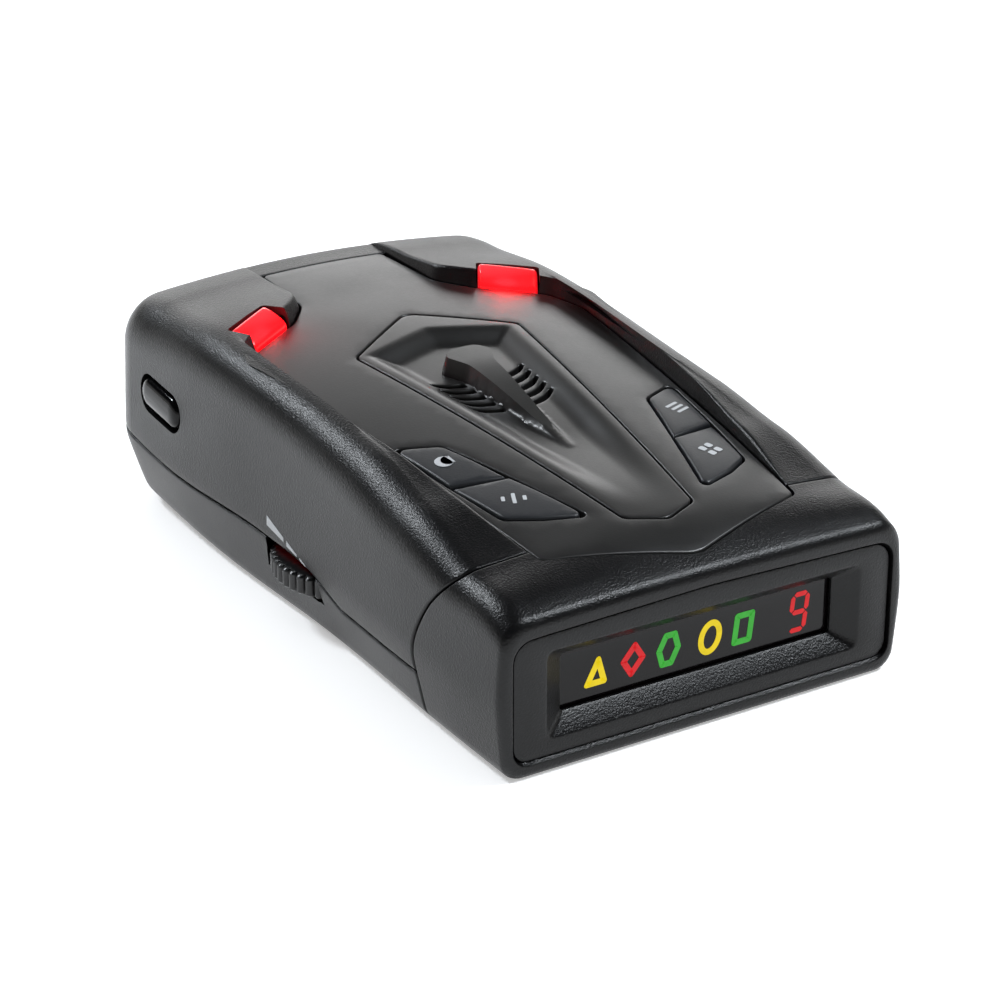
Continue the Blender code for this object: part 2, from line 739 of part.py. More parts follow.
def make_wheel(material):
    """Ribbed thumbwheel with the hub that turns in the potentiometer."""
    centre = (*WHEEL_CENTRE, WHEEL_Z[0])
    outline = []
    for k in range(WHEEL_RIBS * 4):
        crest = (k % 4) in (1, 2)
        turn = 2.0 * math.pi * k / (WHEEL_RIBS * 4)
        radius = WHEEL_RADIUS if crest else WHEEL_RADIUS - RIB_DEPTH
        outline.append((centre[0] + radius * math.cos(turn), centre[1] + radius * math.sin(turn)))
    wheel = prism("volume_wheel", outline, WHEEL_Z[0], WHEEL_Z[1], origin=centre)
    hub = prism("wheel_hub", circle(WHEEL_CENTRE, 2.6, 16), WHEEL_Z[0] + 1.0, WHEEL_Z[1] + 1.7)
    return finish(join(wheel, hub), material)


def release_body(name, grow, x0, x1):
    """Round-ended bar across the left wall, tilted a little towards the front."""
    half = RELEASE_LENGTH / 2.0 - RELEASE_HEIGHT / 2.0
    tilt = math.radians(RELEASE_TILT)
    radius = RELEASE_HEIGHT / 2.0 + grow
    outline = []
    for end in (1.0, -1.0):
        for k in range(9):
            turn = math.pi * (k / 8.0 - 0.5) + (0.0 if end > 0.0 else math.pi)
            y = end * half + radius * math.cos(turn)
            z = radius * math.sin(turn)
            turned_y = y * math.cos(tilt) - z * math.sin(tilt)
            turned_z = y * math.sin(tilt) + z * math.cos(tilt)
            outline.append((RELEASE_CENTRE[1] + turned_y, RELEASE_CENTRE[2] + turned_z))
    return side_prism(name, outline, x0, x1)


def make_release_button(material):
    """Bracket release: pill through the wall, flange behind it and a post up to the latch."""
    y = RELEASE_CENTRE[1]
    button = release_body("release_button", 0.0, *RELEASE_X)
    join(button, release_body("release_flange", 1.1, -32.0, -30.9))
    join(button, block("release_post", (-31.8, y - 2.0, 19.0), (-30.6, y + 2.0, 27.6)))
    recentre(button, RELEASE_CENTRE)
    return finish(button, material, round_piece=True)


def make_release_spring(material):
    """Bowed leaf spring carried behind the release button."""
    x = -30.3
    leaf = []
    for k in range(9):
        t = k / 8.0
        leaf.append((x + 1.6 * math.sin(math.pi * t), RELEASE_CENTRE[1] - 6.0 + 3.6 * t))
    back = [(bow + 0.3, y) for bow, y in reversed(leaf)]
    spring = prism("release_spring", leaf + back, 19.6, 22.6)
    recentre(spring, RELEASE_CENTRE)
    return finish(spring, material)


def make_latch(material):
    """Steel latch plate under the bracket socket with a tooth that stands in the slot."""
    y = RELEASE_CENTRE[1]
    latch = block("bracket_latch", (-30.3, y - 2.0, 25.4), (6.0, y + 2.0, 26.2))
    join(latch, block("latch_tooth", (-6.5, y - 1.6, 26.0), (-3.5, y + 1.6, 28.4)))
    recentre(latch, RELEASE_CENTRE)
    return finish(latch, material)


def make_socket(material):
    """Open-ended socket that the windshield bracket's tongue slides into."""
    y = RELEASE_CENTRE[1]
    half = SOCKET_HALF_X + SOCKET_WALL
    low, high = SLOT_Z
    socket = block("bracket_socket", (-half, SOCKET_Y[0], low - 1.0), (half, SOCKET_Y[1], high + 1.0))
    slot_start = SOCKET_Y[0] + SOCKET_WALL
    cut(socket, block("socket_slot", (-SOCKET_HALF_X, slot_start, low), (SOCKET_HALF_X, 80.0, high)))
    cut(socket, block("tooth_window", (-7.1, y - 2.1, 20.0), (-1.2, y + 2.1, low + 0.5)))
    return finish(socket, material)


def make_rear_window(material):
    """Dark window over the antenna and the laser sensor in the rear end."""
    return finish(face_prism("rear_window", rear_window_outline(), *REAR_WINDOW_Y), material)


# ---------------------------------------------------------------- display


def make_bezel(material):
    """Face frame whose mouth slopes down to the window, with a ledge along its lower edge."""
    bezel = face_prism("display_bezel", bezel_outline(), BEZEL_Y, BEZEL_Y + BEZEL_THICK)
    boss = rounded([(26.0, 5.2), (26.0, 17.4), (-26.0, 17.4), (-26.0, 5.2)], [1.5] * 4, 2)
    join(bezel, face_prism("bezel_boss", boss, BEZEL_Y + 0.8, WINDOW_Y - GAP))
    rings = []
    stations = [(BEZEL_Y - 1.0, MOUTH_HALF_X, MOUTH_Z)]
    stations += [(y, WINDOW_HALF_X, WINDOW_Z) for y in (WINDOW_Y - 0.9, WINDOW_Y + 1.0)]
    for y, half, (z0, z1) in stations:
        corners = rounded([(-half, z0), (half, z0), (half, z1), (-half, z1)], [0.8] * 4, 2)
        rings.append([(x, y, z) for x, z in corners])
    cut(bezel, loft("bezel_mouth", rings))
    return finish(bezel, material)


def make_window(material):
    """Smoked display window behind the bezel."""
    half = WINDOW_HALF_X + 2.1
    low, high = WINDOW_Z[0] - 1.2, WINDOW_Z[1] + 1.5
    window = block("display_window", (-half, WINDOW_Y, low), (half, WINDOW_Y + WINDOW_THICK, high))
    return finish(window, material)


def make_display_works(materials):
    """Light block, digit module, display board and the ribbon back to the main board."""
    y = WINDOW_Y + WINDOW_THICK + GAP
    finish(block("display_light_block", (-22.0, y, 6.6), (12.0, y + 2.6, 16.4)), materials["white"])
    finish(block("digit_module", (12.5, y, 6.6), (22.0, y + 2.6, 16.4)), materials["chip"])
    finish(block("display_board", (-26.0, y + 2.9, 4.4), (26.0, y + 4.5, 19.4)), materials["board"])
    back = y + 4.5 + GAP
    path = [(back, 7.0), (back, 10.4), (back + 4.0, 14.5), (-31.0, 14.5)]
    above = [(back + 0.4, 7.0), (back + 0.4, 10.2), (back + 4.2, 14.1), (-31.0, 14.1)]
    outline = path + list(reversed(above))
    finish(side_prism("display_ribbon", outline, -7.0, 7.0), materials["ribbon"])


# ---------------------------------------------------------------- works


def make_main_board(material):
    """Main circuit board, narrowed past the screw posts."""
    right = [(22.2, -33.0), (22.2, -24.0), (29.2, -18.0), (29.2, 32.0), (22.2, 38.0), (22.2, 52.0)]
    outline = right + [(-x, y) for x, y in reversed(right)]
    return finish(prism("main_board", outline, BOARD_Z, BOARD_Z + BOARD_THICK), material)


def make_board_parts(materials):
    """Larger components on the main board."""
    top = BOARD_Z + BOARD_THICK + GAP
    finish(block("processor_chip", (8.0, -27.0, top), (18.0, -17.0, top + 1.4)), materials["chip"])
    can = [(3.1, top), (3.1, top + 0.8), (2.8, top + 1.2), (3.1, top + 1.6)]
    can += [(3.1, top + 8.6), (2.7, top + 9.0)]
    finish(turned("filter_capacitor", can, (22.0, 17.5), 20), materials["can"], round_piece=True)


def make_pot(material):
    """Volume potentiometer between the wheel and the main board."""
    x, y = WHEEL_CENTRE
    low, high = WHEEL_Z[1] + GAP, BOARD_Z - GAP
    pot = block("volume_potentiometer", (x - 5.6, y - 5.6, low), (x + 5.6, y + 5.6, high))
    cut(pot, prism("pot_bore", circle(WHEEL_CENTRE, 2.95, 16), 0.0, 40.0))
    return finish(pot, material)


def make_switches(materials):
    """Button board with four tactile switches, each with its plunger."""
    board = BUTTON_BOARD_Z
    right = [(24.6, -20.0), (23.6, -26.6), (22.6, -40.0), (16.0, -45.0)]
    outline = right + [(-x, y) for x, y in reversed(right)]
    finish(prism("button_board", outline, board, board + 1.6), materials["board"])
    base = board + 1.6 + GAP
    for side, side_name in ((-1.0, "left"), (1.0, "right")):
        for which in ("rear", "front"):
            x = BUTTON_CENTRES[which][0] * side
            y = BUTTON_CENTRES[which][1]
            name = "%s_%s" % (side_name, which)
            body = block(name + "_switch", (x - 3.0, y - 3.0, base), (x + 3.0, y + 3.0, SWITCH_TOP_Z))
            cut(body, prism(name + "_bore", circle((x, y), 1.85, 12), base + 1.2, 40.0))
            finish(body, materials["chip"])
            top = STEM_FOOT_Z - GAP
            rod = circle((x, y), 1.5, 12)
            plunger = prism(name + "_plunger", rod, SWITCH_TOP_Z - 1.0, top, origin=(x, y, top))
            finish(plunger, materials["white"])


def make_alert_led(name, side, material):
    """Leaded lamp under an alert lens: round body, domed head and two legs to the board."""
    corners = lens_corners()
    x = side * sum(p[0] for p in corners) / 4.0
    y = sum(p[1] for p in corners) / 4.0
    dome = [(1.9, 23.6), (1.9, 24.4), (1.5, 24.5), (1.5, 26.9), (1.2, 27.7), (0.5, 28.2)]
    body = turned(name, dome, (x, y), 16)
    for k, leg_x in enumerate((x - 0.8, x + 0.8)):
        low, high = (leg_x - 0.25, y - 0.25, 14.1), (leg_x + 0.25, y + 0.25, 24.0)
        join(body, block("%s_leg_%d" % (name, k), low, high))
    return finish(body, material, round_piece=True)


def make_jack(material):
    """Power socket in the right wall."""
    jack = side_prism("power_jack", circle((JACK_Y, JACK_Z), JACK_RADIUS, 20), 29.0, 33.0)
    join(jack, block("jack_body", (21.0, JACK_Y - 4.5, JACK_Z - 4.6), (30.6, JACK_Y + 4.5, JACK_Z + 4.6)))
    cut(jack, side_prism("jack_bore", circle((JACK_Y, JACK_Z), JACK_BORE, 16), 23.0, 40.0))
    return finish(jack, material, round_piece=True)


def make_speaker(materials):
    """Speaker under the grille: gasket, basket, cone and magnet."""
    top = SPEAKER_TOP_Z
    r = SPEAKER_RADIUS
    gasket = [(r - 3.6, top), (r, top), (r, top + 0.7), (r - 3.6, top + 0.7)]
    finish(ring_body("speaker_gasket", gasket, SPEAKER_CENTRE), materials["foam"], round_piece=True)
    low = top - GAP
    basket = [(r, low), (r, low - 1.0), (r - 1.2, low - 1.0), (8.2, low - 7.4), (8.2, low - 8.0)]
    basket += [(3.0, low - 8.0)]
    basket += [(3.0, low - 7.0), (7.4, low - 7.0), (r - 2.0, low - 0.8), (r - 2.0, low)]
    finish(ring_body("speaker_basket", basket, SPEAKER_CENTRE), materials["steel"], round_piece=True)
    cone = [(0.4, low - 5.8), (3.6, low - 5.8), (r - 2.5, low - 1.0)]
    cone += [(r - 2.5, low - 0.5), (3.9, low - 5.0), (2.0, low - 4.2), (0.4, low - 3.9)]
    finish(turned("speaker_cone", cone, SPEAKER_CENTRE), materials["paper"], round_piece=True)
    magnet = [(7.2, low - 12.2), (7.6, low - 11.9), (7.6, low - 8.6), (7.2, low - 8.3)]
    finish(turned("speaker_magnet", magnet, SPEAKER_CENTRE), materials["steel"], round_piece=True)


def make_antenna(materials):
    """Die-cast horn with its mixer block, mixer board, shield and fixing screws."""
    z0, z1 = HORN_Z
    rings = []
    for y, half, drop in ((14.0, 12.0, 0.0), (30.0, 12.0, 0.0), (31.0, 8.4, 0.9), (56.6, 16.4, 0.0)):
        low, high = z0 + drop, z1 - drop
        rings.append([(-half, y, low), (half, y, low), (half, y, high), (-half, y, high)])
    horn = loft("horn_antenna", rings)
    mouth = []
    for y, half, low, high in ((17.0, 4.6, 17.9, 21.7), (33.0, 4.6, 17.9, 21.7), (60.0, 16.2, 15.3, 24.3)):
        mouth.append([(-half, y, low), (half, y, low), (half, y, high), (-half, y, high)])
    cut(horn, loft("horn_mouth", mouth))
    finish(horn, materials["cast"])
    finish(block("mixer_board", (-11.4, 14.6, z1 + GAP), (11.4, 29.4, z1 + 1.3)), materials["board"])
    finish(block("mixer_shield", (-8.6, 16.4, z1 + 1.6), (8.6, 27.6, z1 + 3.6)), materials["steel"])
    head = [(1.3, z1 + 1.6), (1.3, z1 + 2.2), (0.7, z1 + 2.6)]
    for side, word in ((-1.0, "left"), (1.0, "right")):
        finish(turned("horn_screw_" + word, head, (side * 10.3, 22.0), 12), materials["steel"])


def make_laser_sensor(materials):
    """Laser sensor beside the horn, with its own lens behind the rear window."""
    finish(block("laser_sensor", (-23.0, 44.6, 15.4), (-17.0, 50.6, 22.8)), materials["chip"])
    rings = []
    for y, radius in ((50.9, 2.5), (53.4, 2.5), (54.6, 2.1), (55.4, 1.3), (55.7, 0.4)):
        rings.append([(x, y, z) for x, z in circle((-20.0, 20.2), radius, 16)])
    finish(loft("laser_lens", rings), materials["lens"], round_piece=True)


def make_case_screws(material):
    """Four screws up through the base into the upper shell."""
    for k, (x, y) in enumerate(SCREW_PLACES):
        profile = [(2.3, 0.6), (2.3, 2.1), (1.1, 2.3), (1.1, 16.6), (0.4, 17.0)]
        finish(turned("case_screw_%d" % (k + 1), profile, (x, y), 14), material, round_piece=True)


def main():
    """Build every piece of the detector."""
    remove_everything()
    shell = plastic("case_black", (0.018, 0.018, 0.021), 0.42)
    trim = plastic("panel_charcoal", (0.055, 0.053, 0.050), 0.34)
    keys = plastic("button_rubber", (0.045, 0.050, 0.060), 0.6)
    gloss = plastic("gloss_black", (0.008, 0.008, 0.010), 0.12)
    smoke = plastic("smoked_window", (0.010, 0.008, 0.010), 0.05)
    red = plastic("lamp_red", (0.90, 0.01, 0.02), 0.2, glow=2.0)
    works = {
        "white": plastic("white_plastic", (0.75, 0.75, 0.72), 0.5),
        "chip": plastic("moulded_black", (0.02, 0.02, 0.02), 0.5),
        "board": plastic("board_green", (0.02, 0.16, 0.07), 0.4),
        "ribbon": plastic("ribbon_grey", (0.5, 0.5, 0.52), 0.5),
        "can": plastic("capacitor_sleeve", (0.03, 0.05, 0.16), 0.3),
        "foam": plastic("foam_black", (0.02, 0.02, 0.02), 0.95),
        "steel": plastic("plated_steel", (0.60, 0.60, 0.58), 0.35, metallic=1.0),
        "paper": plastic("cone_paper", (0.05, 0.05, 0.05), 0.9),
        "cast": plastic("zinc_casting", (0.52, 0.52, 0.50), 0.45, metallic=1.0),
        "lens": plastic("clear_lens", (0.85, 0.85, 0.88), 0.05, alpha=0.4),
    }
    make_top_case(shell)
    make_bottom_case(shell)
    make_front_cap(shell)
    make_top_panel(trim)
    make_speaker_insert(trim)
    for side, word in ((-1.0, "left"), (1.0, "right")):
        make_lens(word + "_alert_lens", side, red)
        make_alert_led(word + "_alert_led", side, red)
        for which in ("rear", "front"):
            make_button("%s_%s_button" % (word, which), side, which, keys)
    make_wheel(gloss)
    make_release_button(gloss)
    make_release_spring(works["steel"])
    make_latch(works["steel"])
    make_socket(works["chip"])
    make_rear_window(smoke)
    make_bezel(shell)
    make_window(smoke)
    make_display_works(works)
    make_main_board(works["board"])
    make_board_parts(works)
    make_pot(works["chip"])
    make_switches(works)
    make_jack(works["chip"])
    make_speaker(works)
    make_antenna(works)
    make_laser_sensor(works)
    make_case_screws(works["steel"])


main()
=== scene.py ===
"""Looks of a dashboard radar detector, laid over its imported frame.

Axes follow the frame: +X is the viewer's right facing the display, -Y the display end, +Y the road end and
+Z up. Shapes are worked out in millimetres as numpy arrays and become metres when they enter a mesh. A point
of a cross-section is a complex number, x + i z.
"""
import math

import bmesh
import bpy
import numpy as np
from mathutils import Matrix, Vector
from mathutils.geometry import delaunay_2d_cdt


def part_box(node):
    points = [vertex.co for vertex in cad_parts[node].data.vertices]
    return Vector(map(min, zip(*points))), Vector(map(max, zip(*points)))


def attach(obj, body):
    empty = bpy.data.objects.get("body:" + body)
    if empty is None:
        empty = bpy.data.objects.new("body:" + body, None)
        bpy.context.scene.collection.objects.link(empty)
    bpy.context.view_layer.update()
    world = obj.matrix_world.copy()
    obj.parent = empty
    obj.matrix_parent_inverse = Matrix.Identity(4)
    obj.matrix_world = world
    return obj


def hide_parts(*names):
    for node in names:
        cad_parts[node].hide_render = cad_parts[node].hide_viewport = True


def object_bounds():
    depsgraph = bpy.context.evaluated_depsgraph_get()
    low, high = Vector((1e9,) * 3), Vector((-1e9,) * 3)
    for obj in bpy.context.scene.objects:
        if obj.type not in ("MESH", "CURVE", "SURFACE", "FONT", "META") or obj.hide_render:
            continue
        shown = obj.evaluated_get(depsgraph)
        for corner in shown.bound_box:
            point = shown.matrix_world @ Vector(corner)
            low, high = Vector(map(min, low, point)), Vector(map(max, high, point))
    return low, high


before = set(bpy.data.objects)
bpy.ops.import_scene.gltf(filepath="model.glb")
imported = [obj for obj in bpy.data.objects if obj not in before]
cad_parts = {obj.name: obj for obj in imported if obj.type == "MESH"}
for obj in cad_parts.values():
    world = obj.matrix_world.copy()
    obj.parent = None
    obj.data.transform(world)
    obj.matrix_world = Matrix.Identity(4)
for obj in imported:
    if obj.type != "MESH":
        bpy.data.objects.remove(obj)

MM = 0.001
GAP = 0.3
START_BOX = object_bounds()


def node_box(node):
    """Lowest and highest corner of a CAD node, in millimetres."""
    low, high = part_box(node)
    return np.array(low) / MM, np.array(high) / MM


CASE_LOW, CASE_HIGH = (np.array(corner) / MM for corner in START_BOX)
FRONT_Y = CASE_LOW[1]
REAR_Y = CASE_HIGH[1]

# Case envelope: knots are (y, value)
WIDTH_KNOTS = ((-59.3, 33.6), (-38.0, 34.3), (-2.0, 33.7), (34.0, 34.92), (59.3, 34.92))
WAIST_Z = 12.0
WAIST_SOFTNESS = 0.23
FOOT_LEAN = ((-59.3, 1.2), (-30.0, 2.6), (20.0, 2.6), (56.0, 4.2))
FOOT_ROUND = ((-59.3, 3.0), (-30.0, 3.0), (20.0, 3.0), (56.0, 6.0))
HEAD_LEAN = 1.1
HEAD_ROUND = ((-59.3, 4.0), (-30.0, 6.5), (20.0, 6.5), (56.0, 10.0))
RIM_ROUND = 1.2
REAR_CORNER = 10.0
REAR_EDGE = 8.0
REAR_HEEL = 6.5
SHOULDER_RISE = ((-49.6, 0.0), (-32.0, 1.7), (-18.0, 2.5), (28.0, 2.66), (46.0, 1.25), (59.3, 0.2))
SHELL = 1.3

# Crowned top
CROWN_Z = 35.4
CROWN_VERTEX_Y = 52.8
CROWN_ALONG = 0.0008
CROWN_ACROSS = 0.00243
NOSE_Y = -46.7
NOSE_FALL = 0.014
NOSE_FLATTEN = 0.62
NOSE_LENGTH = 10.0

# Seams
SEAM_KNOTS = ((-16.0, 7.8), (-8.6, 10.2), (5.9, 11.4), (38.0, 11.4), (59.3, 14.0))
CAP_SEAM = ((0.0, -38.75), (5.0, -38.2), (11.5, -37.9), (18.8, -41.2), (25.5, -46.7), (32.0, -48.6))
SEAM_ROLL = 0.35

# Top panel, speaker insert and keys, right half or right side
PANEL_HALF = ((10.9, 48.8), (11.8, 33.6), (15.8, 28.6), (26.4, 22.3), (28.7, 16.0), (20.9, -49.6))
PANEL_TIP = (0.0, -56.2)
PANEL_RADII = (1.0, 4.0, 3.0, 3.0, 5.0, 1.5)
PANEL_THICK = 1.6
VALLEY_SPREAD = 0.3
INSERT_REAR = (0.0, 22.2)
INSERT_SHOULDER = (14.2, 11.9)
INSERT_TOE = (5.6, -46.5)
INSERT_TIP = (0.0, -48.9)
PAIR_OUTLINE = ((17.6, -18.6), (23.8, -15.3), (22.0, -28.0), (20.1, -38.8), (15.6, -41.5), (9.8, -43.7))
PAIR_RADII = (2.0, 1.0, 3.0, 2.0, 3.0, 0.8)
SPLIT_INNER = (14.2, -30.2)
SPLIT_OUTER = (23.6, -27.8)
LENS_INNER = (17.0, 28.35)
LENS_OUTER = (25.2, 23.5)
LENS_DEPTH = 4.6
LENS_RISE = 2.5


# ---------------------------------------------------------------- formulas


def smooth(t):
    """3 t squared less 2 t cubed, for t held between 0 and 1."""
    t = np.clip(t, 0.0, 1.0)
    return t * t * (3.0 - 2.0 * t)


def flowing(knots, y):
    """Cubic curve through (y, value) knots, each knot's slope that of the line between its neighbours."""
    ys, values = np.array(knots, float).T
    slopes = np.gradient(values, ys)
    y = np.clip(y, ys[0], ys[-1])
    k = np.clip(np.searchsorted(ys, y, side="right") - 1, 0, len(ys) - 2)
    span = ys[k + 1] - ys[k]
    t = (y - ys[k]) / span
    rise = smooth(t)
    bow = t * (1.0 - t) ** 2 * slopes[k] - t * t * (1.0 - t) * slopes[k + 1]
    return values[k] * (1.0 - rise) + values[k + 1] * rise + bow * span


def eased(knots, y):
    """Smooth step from each (y, value) knot to the next."""
    ys, values = np.array(knots, float).T
    y = np.clip(y, ys[0], ys[-1])
    k = np.clip(np.searchsorted(ys, y, side="right") - 1, 0, len(ys) - 2)
    return values[k] + (values[k + 1] - values[k]) * smooth((y - ys[k]) / (ys[k + 1] - ys[k]))


def round_off(distance, radius):
    """How far a quarter-round edge of this radius has fallen away at a distance in from the edge."""
    into = np.clip(radius - distance, 0.0, radius)
    return radius - np.sqrt(np.maximum(radius * radius - into * into, 0.0))


def crown(x, y):
    """Crowned top: a parabola along and across, with a steeper and flatter-backed fall over the nose."""
    nose = np.maximum(0.0, NOSE_Y - y)
    across = CROWN_ACROSS * (1.0 - NOSE_FLATTEN * smooth(nose / NOSE_LENGTH))
    return CROWN_Z - CROWN_ALONG * (CROWN_VERTEX_Y - y) ** 2 - across * x * x - NOSE_FALL * nose * nose


def unit(direction):
    """A complex direction made one long."""
    return direction / np.maximum(np.abs(direction), 1e-9)


def corner_arc(before, corner, after, radius, u):
    """Point at fraction u of the arc that rounds a corner: both legs are left at one reach, and the centre
    stands on the bisector."""
    back, ahead = unit(before - corner), unit(after - corner)
    half = np.abs(np.angle(ahead / back)) / 2.0
    limit = 0.49 * np.minimum(np.abs(before - corner), np.abs(after - corner))
    reach = np.minimum(radius / np.tan(half), limit)
    centre = corner + unit(back + ahead) * reach / np.cos(half)
    start, end = corner + back * reach - centre, corner + ahead * reach - centre
    return centre + start * np.exp(1j * u * np.angle(end / start))


# ---------------------------------------------------------------- outlines (complex numbers, x + i y)


def rounded(corners, radii, steps=8):
    """Closed outline through the corners, each rounded by corner_arc to its own radius."""
    points = np.array([complex(*c) for c in corners])
    before, after = np.roll(points, 1), np.roll(points, -1)
    u = np.linspace(0.0, 1.0, steps + 1)
    arcs = corner_arc(before[:, None], points[:, None], after[:, None], np.array(radii)[:, None], u[None, :])
    return arcs.ravel()


def turning(outline):
    """Twice the area of a closed outline, positive when it runs anticlockwise."""
    return np.sum(np.imag(np.conj(outline) * np.roll(outline, -1)))


def grown(outline, distance):
    """Closed outline moved outwards, each point along the bisector of its two sides."""
    side = 1.0 if turning(outline) > 0.0 else -1.0
    before = unit(outline - np.roll(outline, 1))
    after = unit(np.roll(outline, -1) - outline)
    normals = -1j * side * unit(before + after)
    lean = np.real(normals * np.conj(-1j * side * before))
    return outline + normals * distance / np.maximum(lean, 0.35)


def grown_corners(corners, distance):
    """Corner list of a polygon moved outwards by a distance."""
    moved = grown(np.array([complex(*c) for c in corners]), distance)
    return [(p.real, p.imag) for p in moved]


def unfolded(moved, outline, distance):
    """A moved outline, where a point that a tight corner folded back takes its nearest good one's place."""
    if abs(distance) < 0.02:
        return moved
    right = np.flatnonzero(nearness(moved, dense(outline, 0.05)) > 0.97 * abs(distance))
    gaps = np.abs(np.arange(len(moved))[:, None] - right[None, :])
    return moved[right[np.minimum(gaps, len(moved) - gaps).argmin(axis=1)]]


def dense(outline, spacing):
    """Closed outline with straight runs divided so that no step is longer than the spacing."""
    ahead = np.roll(outline, -1)
    counts = np.maximum(1, np.ceil(np.abs(ahead - outline) / spacing)).astype(int)
    start = np.repeat(outline, counts)
    step = np.repeat((ahead - outline) / counts, counts)
    order = np.arange(counts.sum()) - np.repeat(np.cumsum(counts) - counts, counts)
    return start + step * order


def thinned(outline, least):
    """Closed outline without the points that stand closer than this to the next one."""
    return outline[np.abs(np.roll(outline, -1) - outline) > least]


def mirrored(outline):
    """The same outline on the other side of the case."""
    return -np.conj(outline)[::-1]


def panel_outline(grow=0.0, rear_y=None):
    """Bottle shape: neck at the rear, broad shoulders by the lamps, sides that draw in to a blunt point."""
    right = list(PANEL_HALF)
    if rear_y is not None:
        right[0] = (right[0][0], rear_y)
    corners = right + [PANEL_TIP] + [(-x, y) for x, y in reversed(right)]
    radii = list(PANEL_RADII) + [6.0] + list(reversed(PANEL_RADII))
    return rounded(grown_corners(corners, grow), radii)


def insert_outline(grow=0.0):
    """Long six-sided shape: pointed rear, broad shoulders, narrow toe."""
    corners = [INSERT_REAR, INSERT_SHOULDER, INSERT_TOE, INSERT_TIP]
    corners += [(-INSERT_TOE[0], INSERT_TOE[1]), (-INSERT_SHOULDER[0], INSERT_SHOULDER[1])]
    return rounded(grown_corners(corners, grow), [2.5, 1.6, 1.5, 2.0, 1.5, 1.6])


def key_outline(which, grow=0.0):
    """One key of the right pair: the pair's outline clipped along the split line."""
    whole = dense(rounded(grown_corners(PAIR_OUTLINE, grow), PAIR_RADII), 0.5)
    along = unit(complex(*SPLIT_OUTER) - complex(*SPLIT_INNER))
    keep = 1.0 if which == "rear" else -1.0
    side = np.imag((whole - complex(*SPLIT_INNER)) * np.conj(along)) * keep - 0.18
    start = int(np.argmax((side >= 0.0) & (np.roll(side, 1) < 0.0)))
    whole, side = np.roll(whole, -start), np.roll(side, -start)
    count = int(np.argmax(side < 0.0))
    kept = whole[:count]
    first = whole[-1] + (whole[0] - whole[-1]) * side[-1] / (side[-1] - side[0])
    near, far = side[count - 1], side[count]
    last = whole[count - 1] + (whole[count] - whole[count - 1]) * near / (near - far)
    return np.concatenate([[first], kept, [last]])


def lens_outline(grow=0.0):
    """Right lamp: a rectangle along the panel's diagonal edge, with small round corners."""
    inner, outer = complex(*LENS_INNER), complex(*LENS_OUTER)
    along = unit(outer - inner)
    away = along * 1j
    corners = [inner - along * grow - away * grow, outer + along * grow - away * grow]
    corners += [corners[1] + away * (LENS_DEPTH + 2.0 * grow), corners[0] + away * (LENS_DEPTH + 2.0 * grow)]
    return rounded([(c.real, c.imag) for c in corners], [0.7] * 4, 6)


# ---------------------------------------------------------------- meshes


def face_out(tool):
    """Turn a mesh right side out: its faces, weighed by area, have to point away from its middle."""
    middle = sum((v.co for v in tool.verts), Vector()) / max(len(tool.verts), 1)
    outward = sum(f.calc_area() * f.normal.dot(f.calc_center_median() - middle) for f in tool.faces)
    if outward < 0.0:
        bmesh.ops.reverse_faces(tool, faces=tool.faces)


def new_piece(name, vertices, faces, body, material, replaced=(), slot=None, smooth_angle=35.0):
    """Mesh object from points in millimetres, riding on its body with its material."""
    mesh = bpy.data.meshes.new(name)
    mesh.from_pydata((np.asarray(vertices, float) * MM).tolist(), [], [list(map(int, f)) for f in faces])
    tool = bmesh.new()
    tool.from_mesh(mesh)
    bmesh.ops.remove_doubles(tool, verts=tool.verts, dist=2e-7)
    bmesh.ops.dissolve_degenerate(tool, edges=tool.edges, dist=1e-7)
    bmesh.ops.recalc_face_normals(tool, faces=tool.faces)
    face_out(tool)
    tool.to_mesh(mesh)
    tool.free()
    mesh.shade_smooth()
    mesh.set_sharp_from_angle(angle=math.radians(smooth_angle))
    piece = bpy.data.objects.new(name, mesh)
    bpy.context.scene.collection.objects.link(piece)
    mesh.materials.append(material)
    if body:
        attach(piece, body)
        if replaced:
            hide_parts(*replaced)
    return piece


def grid_faces(rows, columns, close=False, start=0):
    """Quads of a rows x columns grid of points, its columns joined round if closed."""
    wide = columns if close else columns - 1
    j, i = np.meshgrid(np.arange(rows - 1), np.arange(wide), indexing="ij")
    a = j * columns + i
    b = j * columns + (i + 1) % columns
    quads = np.stack([a, b, b + columns, a + columns], axis=-1).reshape(-1, 4)
    return quads + start


def stack(points):
    """Grid of points (rows, columns, 3) as a vertex list."""
    return np.asarray(points).reshape(-1, 3)


def section_points(section, y):
    """Cross-section points x + i z at stations y as (x, y, z)."""
    return np.stack([section.real, np.broadcast_to(y, section.shape), section.imag], axis=-1)


def tube(name, loops, body, material, caps=(True, True), **more):
    """Surface through closed loops of equal point counts, given as (count, 3) arrays, closed at its ends."""
    points = np.array(loops)
    rows, columns = points.shape[:2]
    faces = grid_faces(rows, columns, close=True).tolist()
    if caps[0]:
        faces.append(list(range(columns)))
    if caps[1]:
        faces.append(list(range((rows - 1) * columns, rows * columns)))
    return new_piece(name, stack(points), faces, body, material, **more)


def flat_loop(outline, z):
    """Plan outline at a height, or at a height for each point, as (x, y, z)."""
    return np.stack([outline.real, outline.imag, np.broadcast_to(z, outline.shape)], axis=-1)


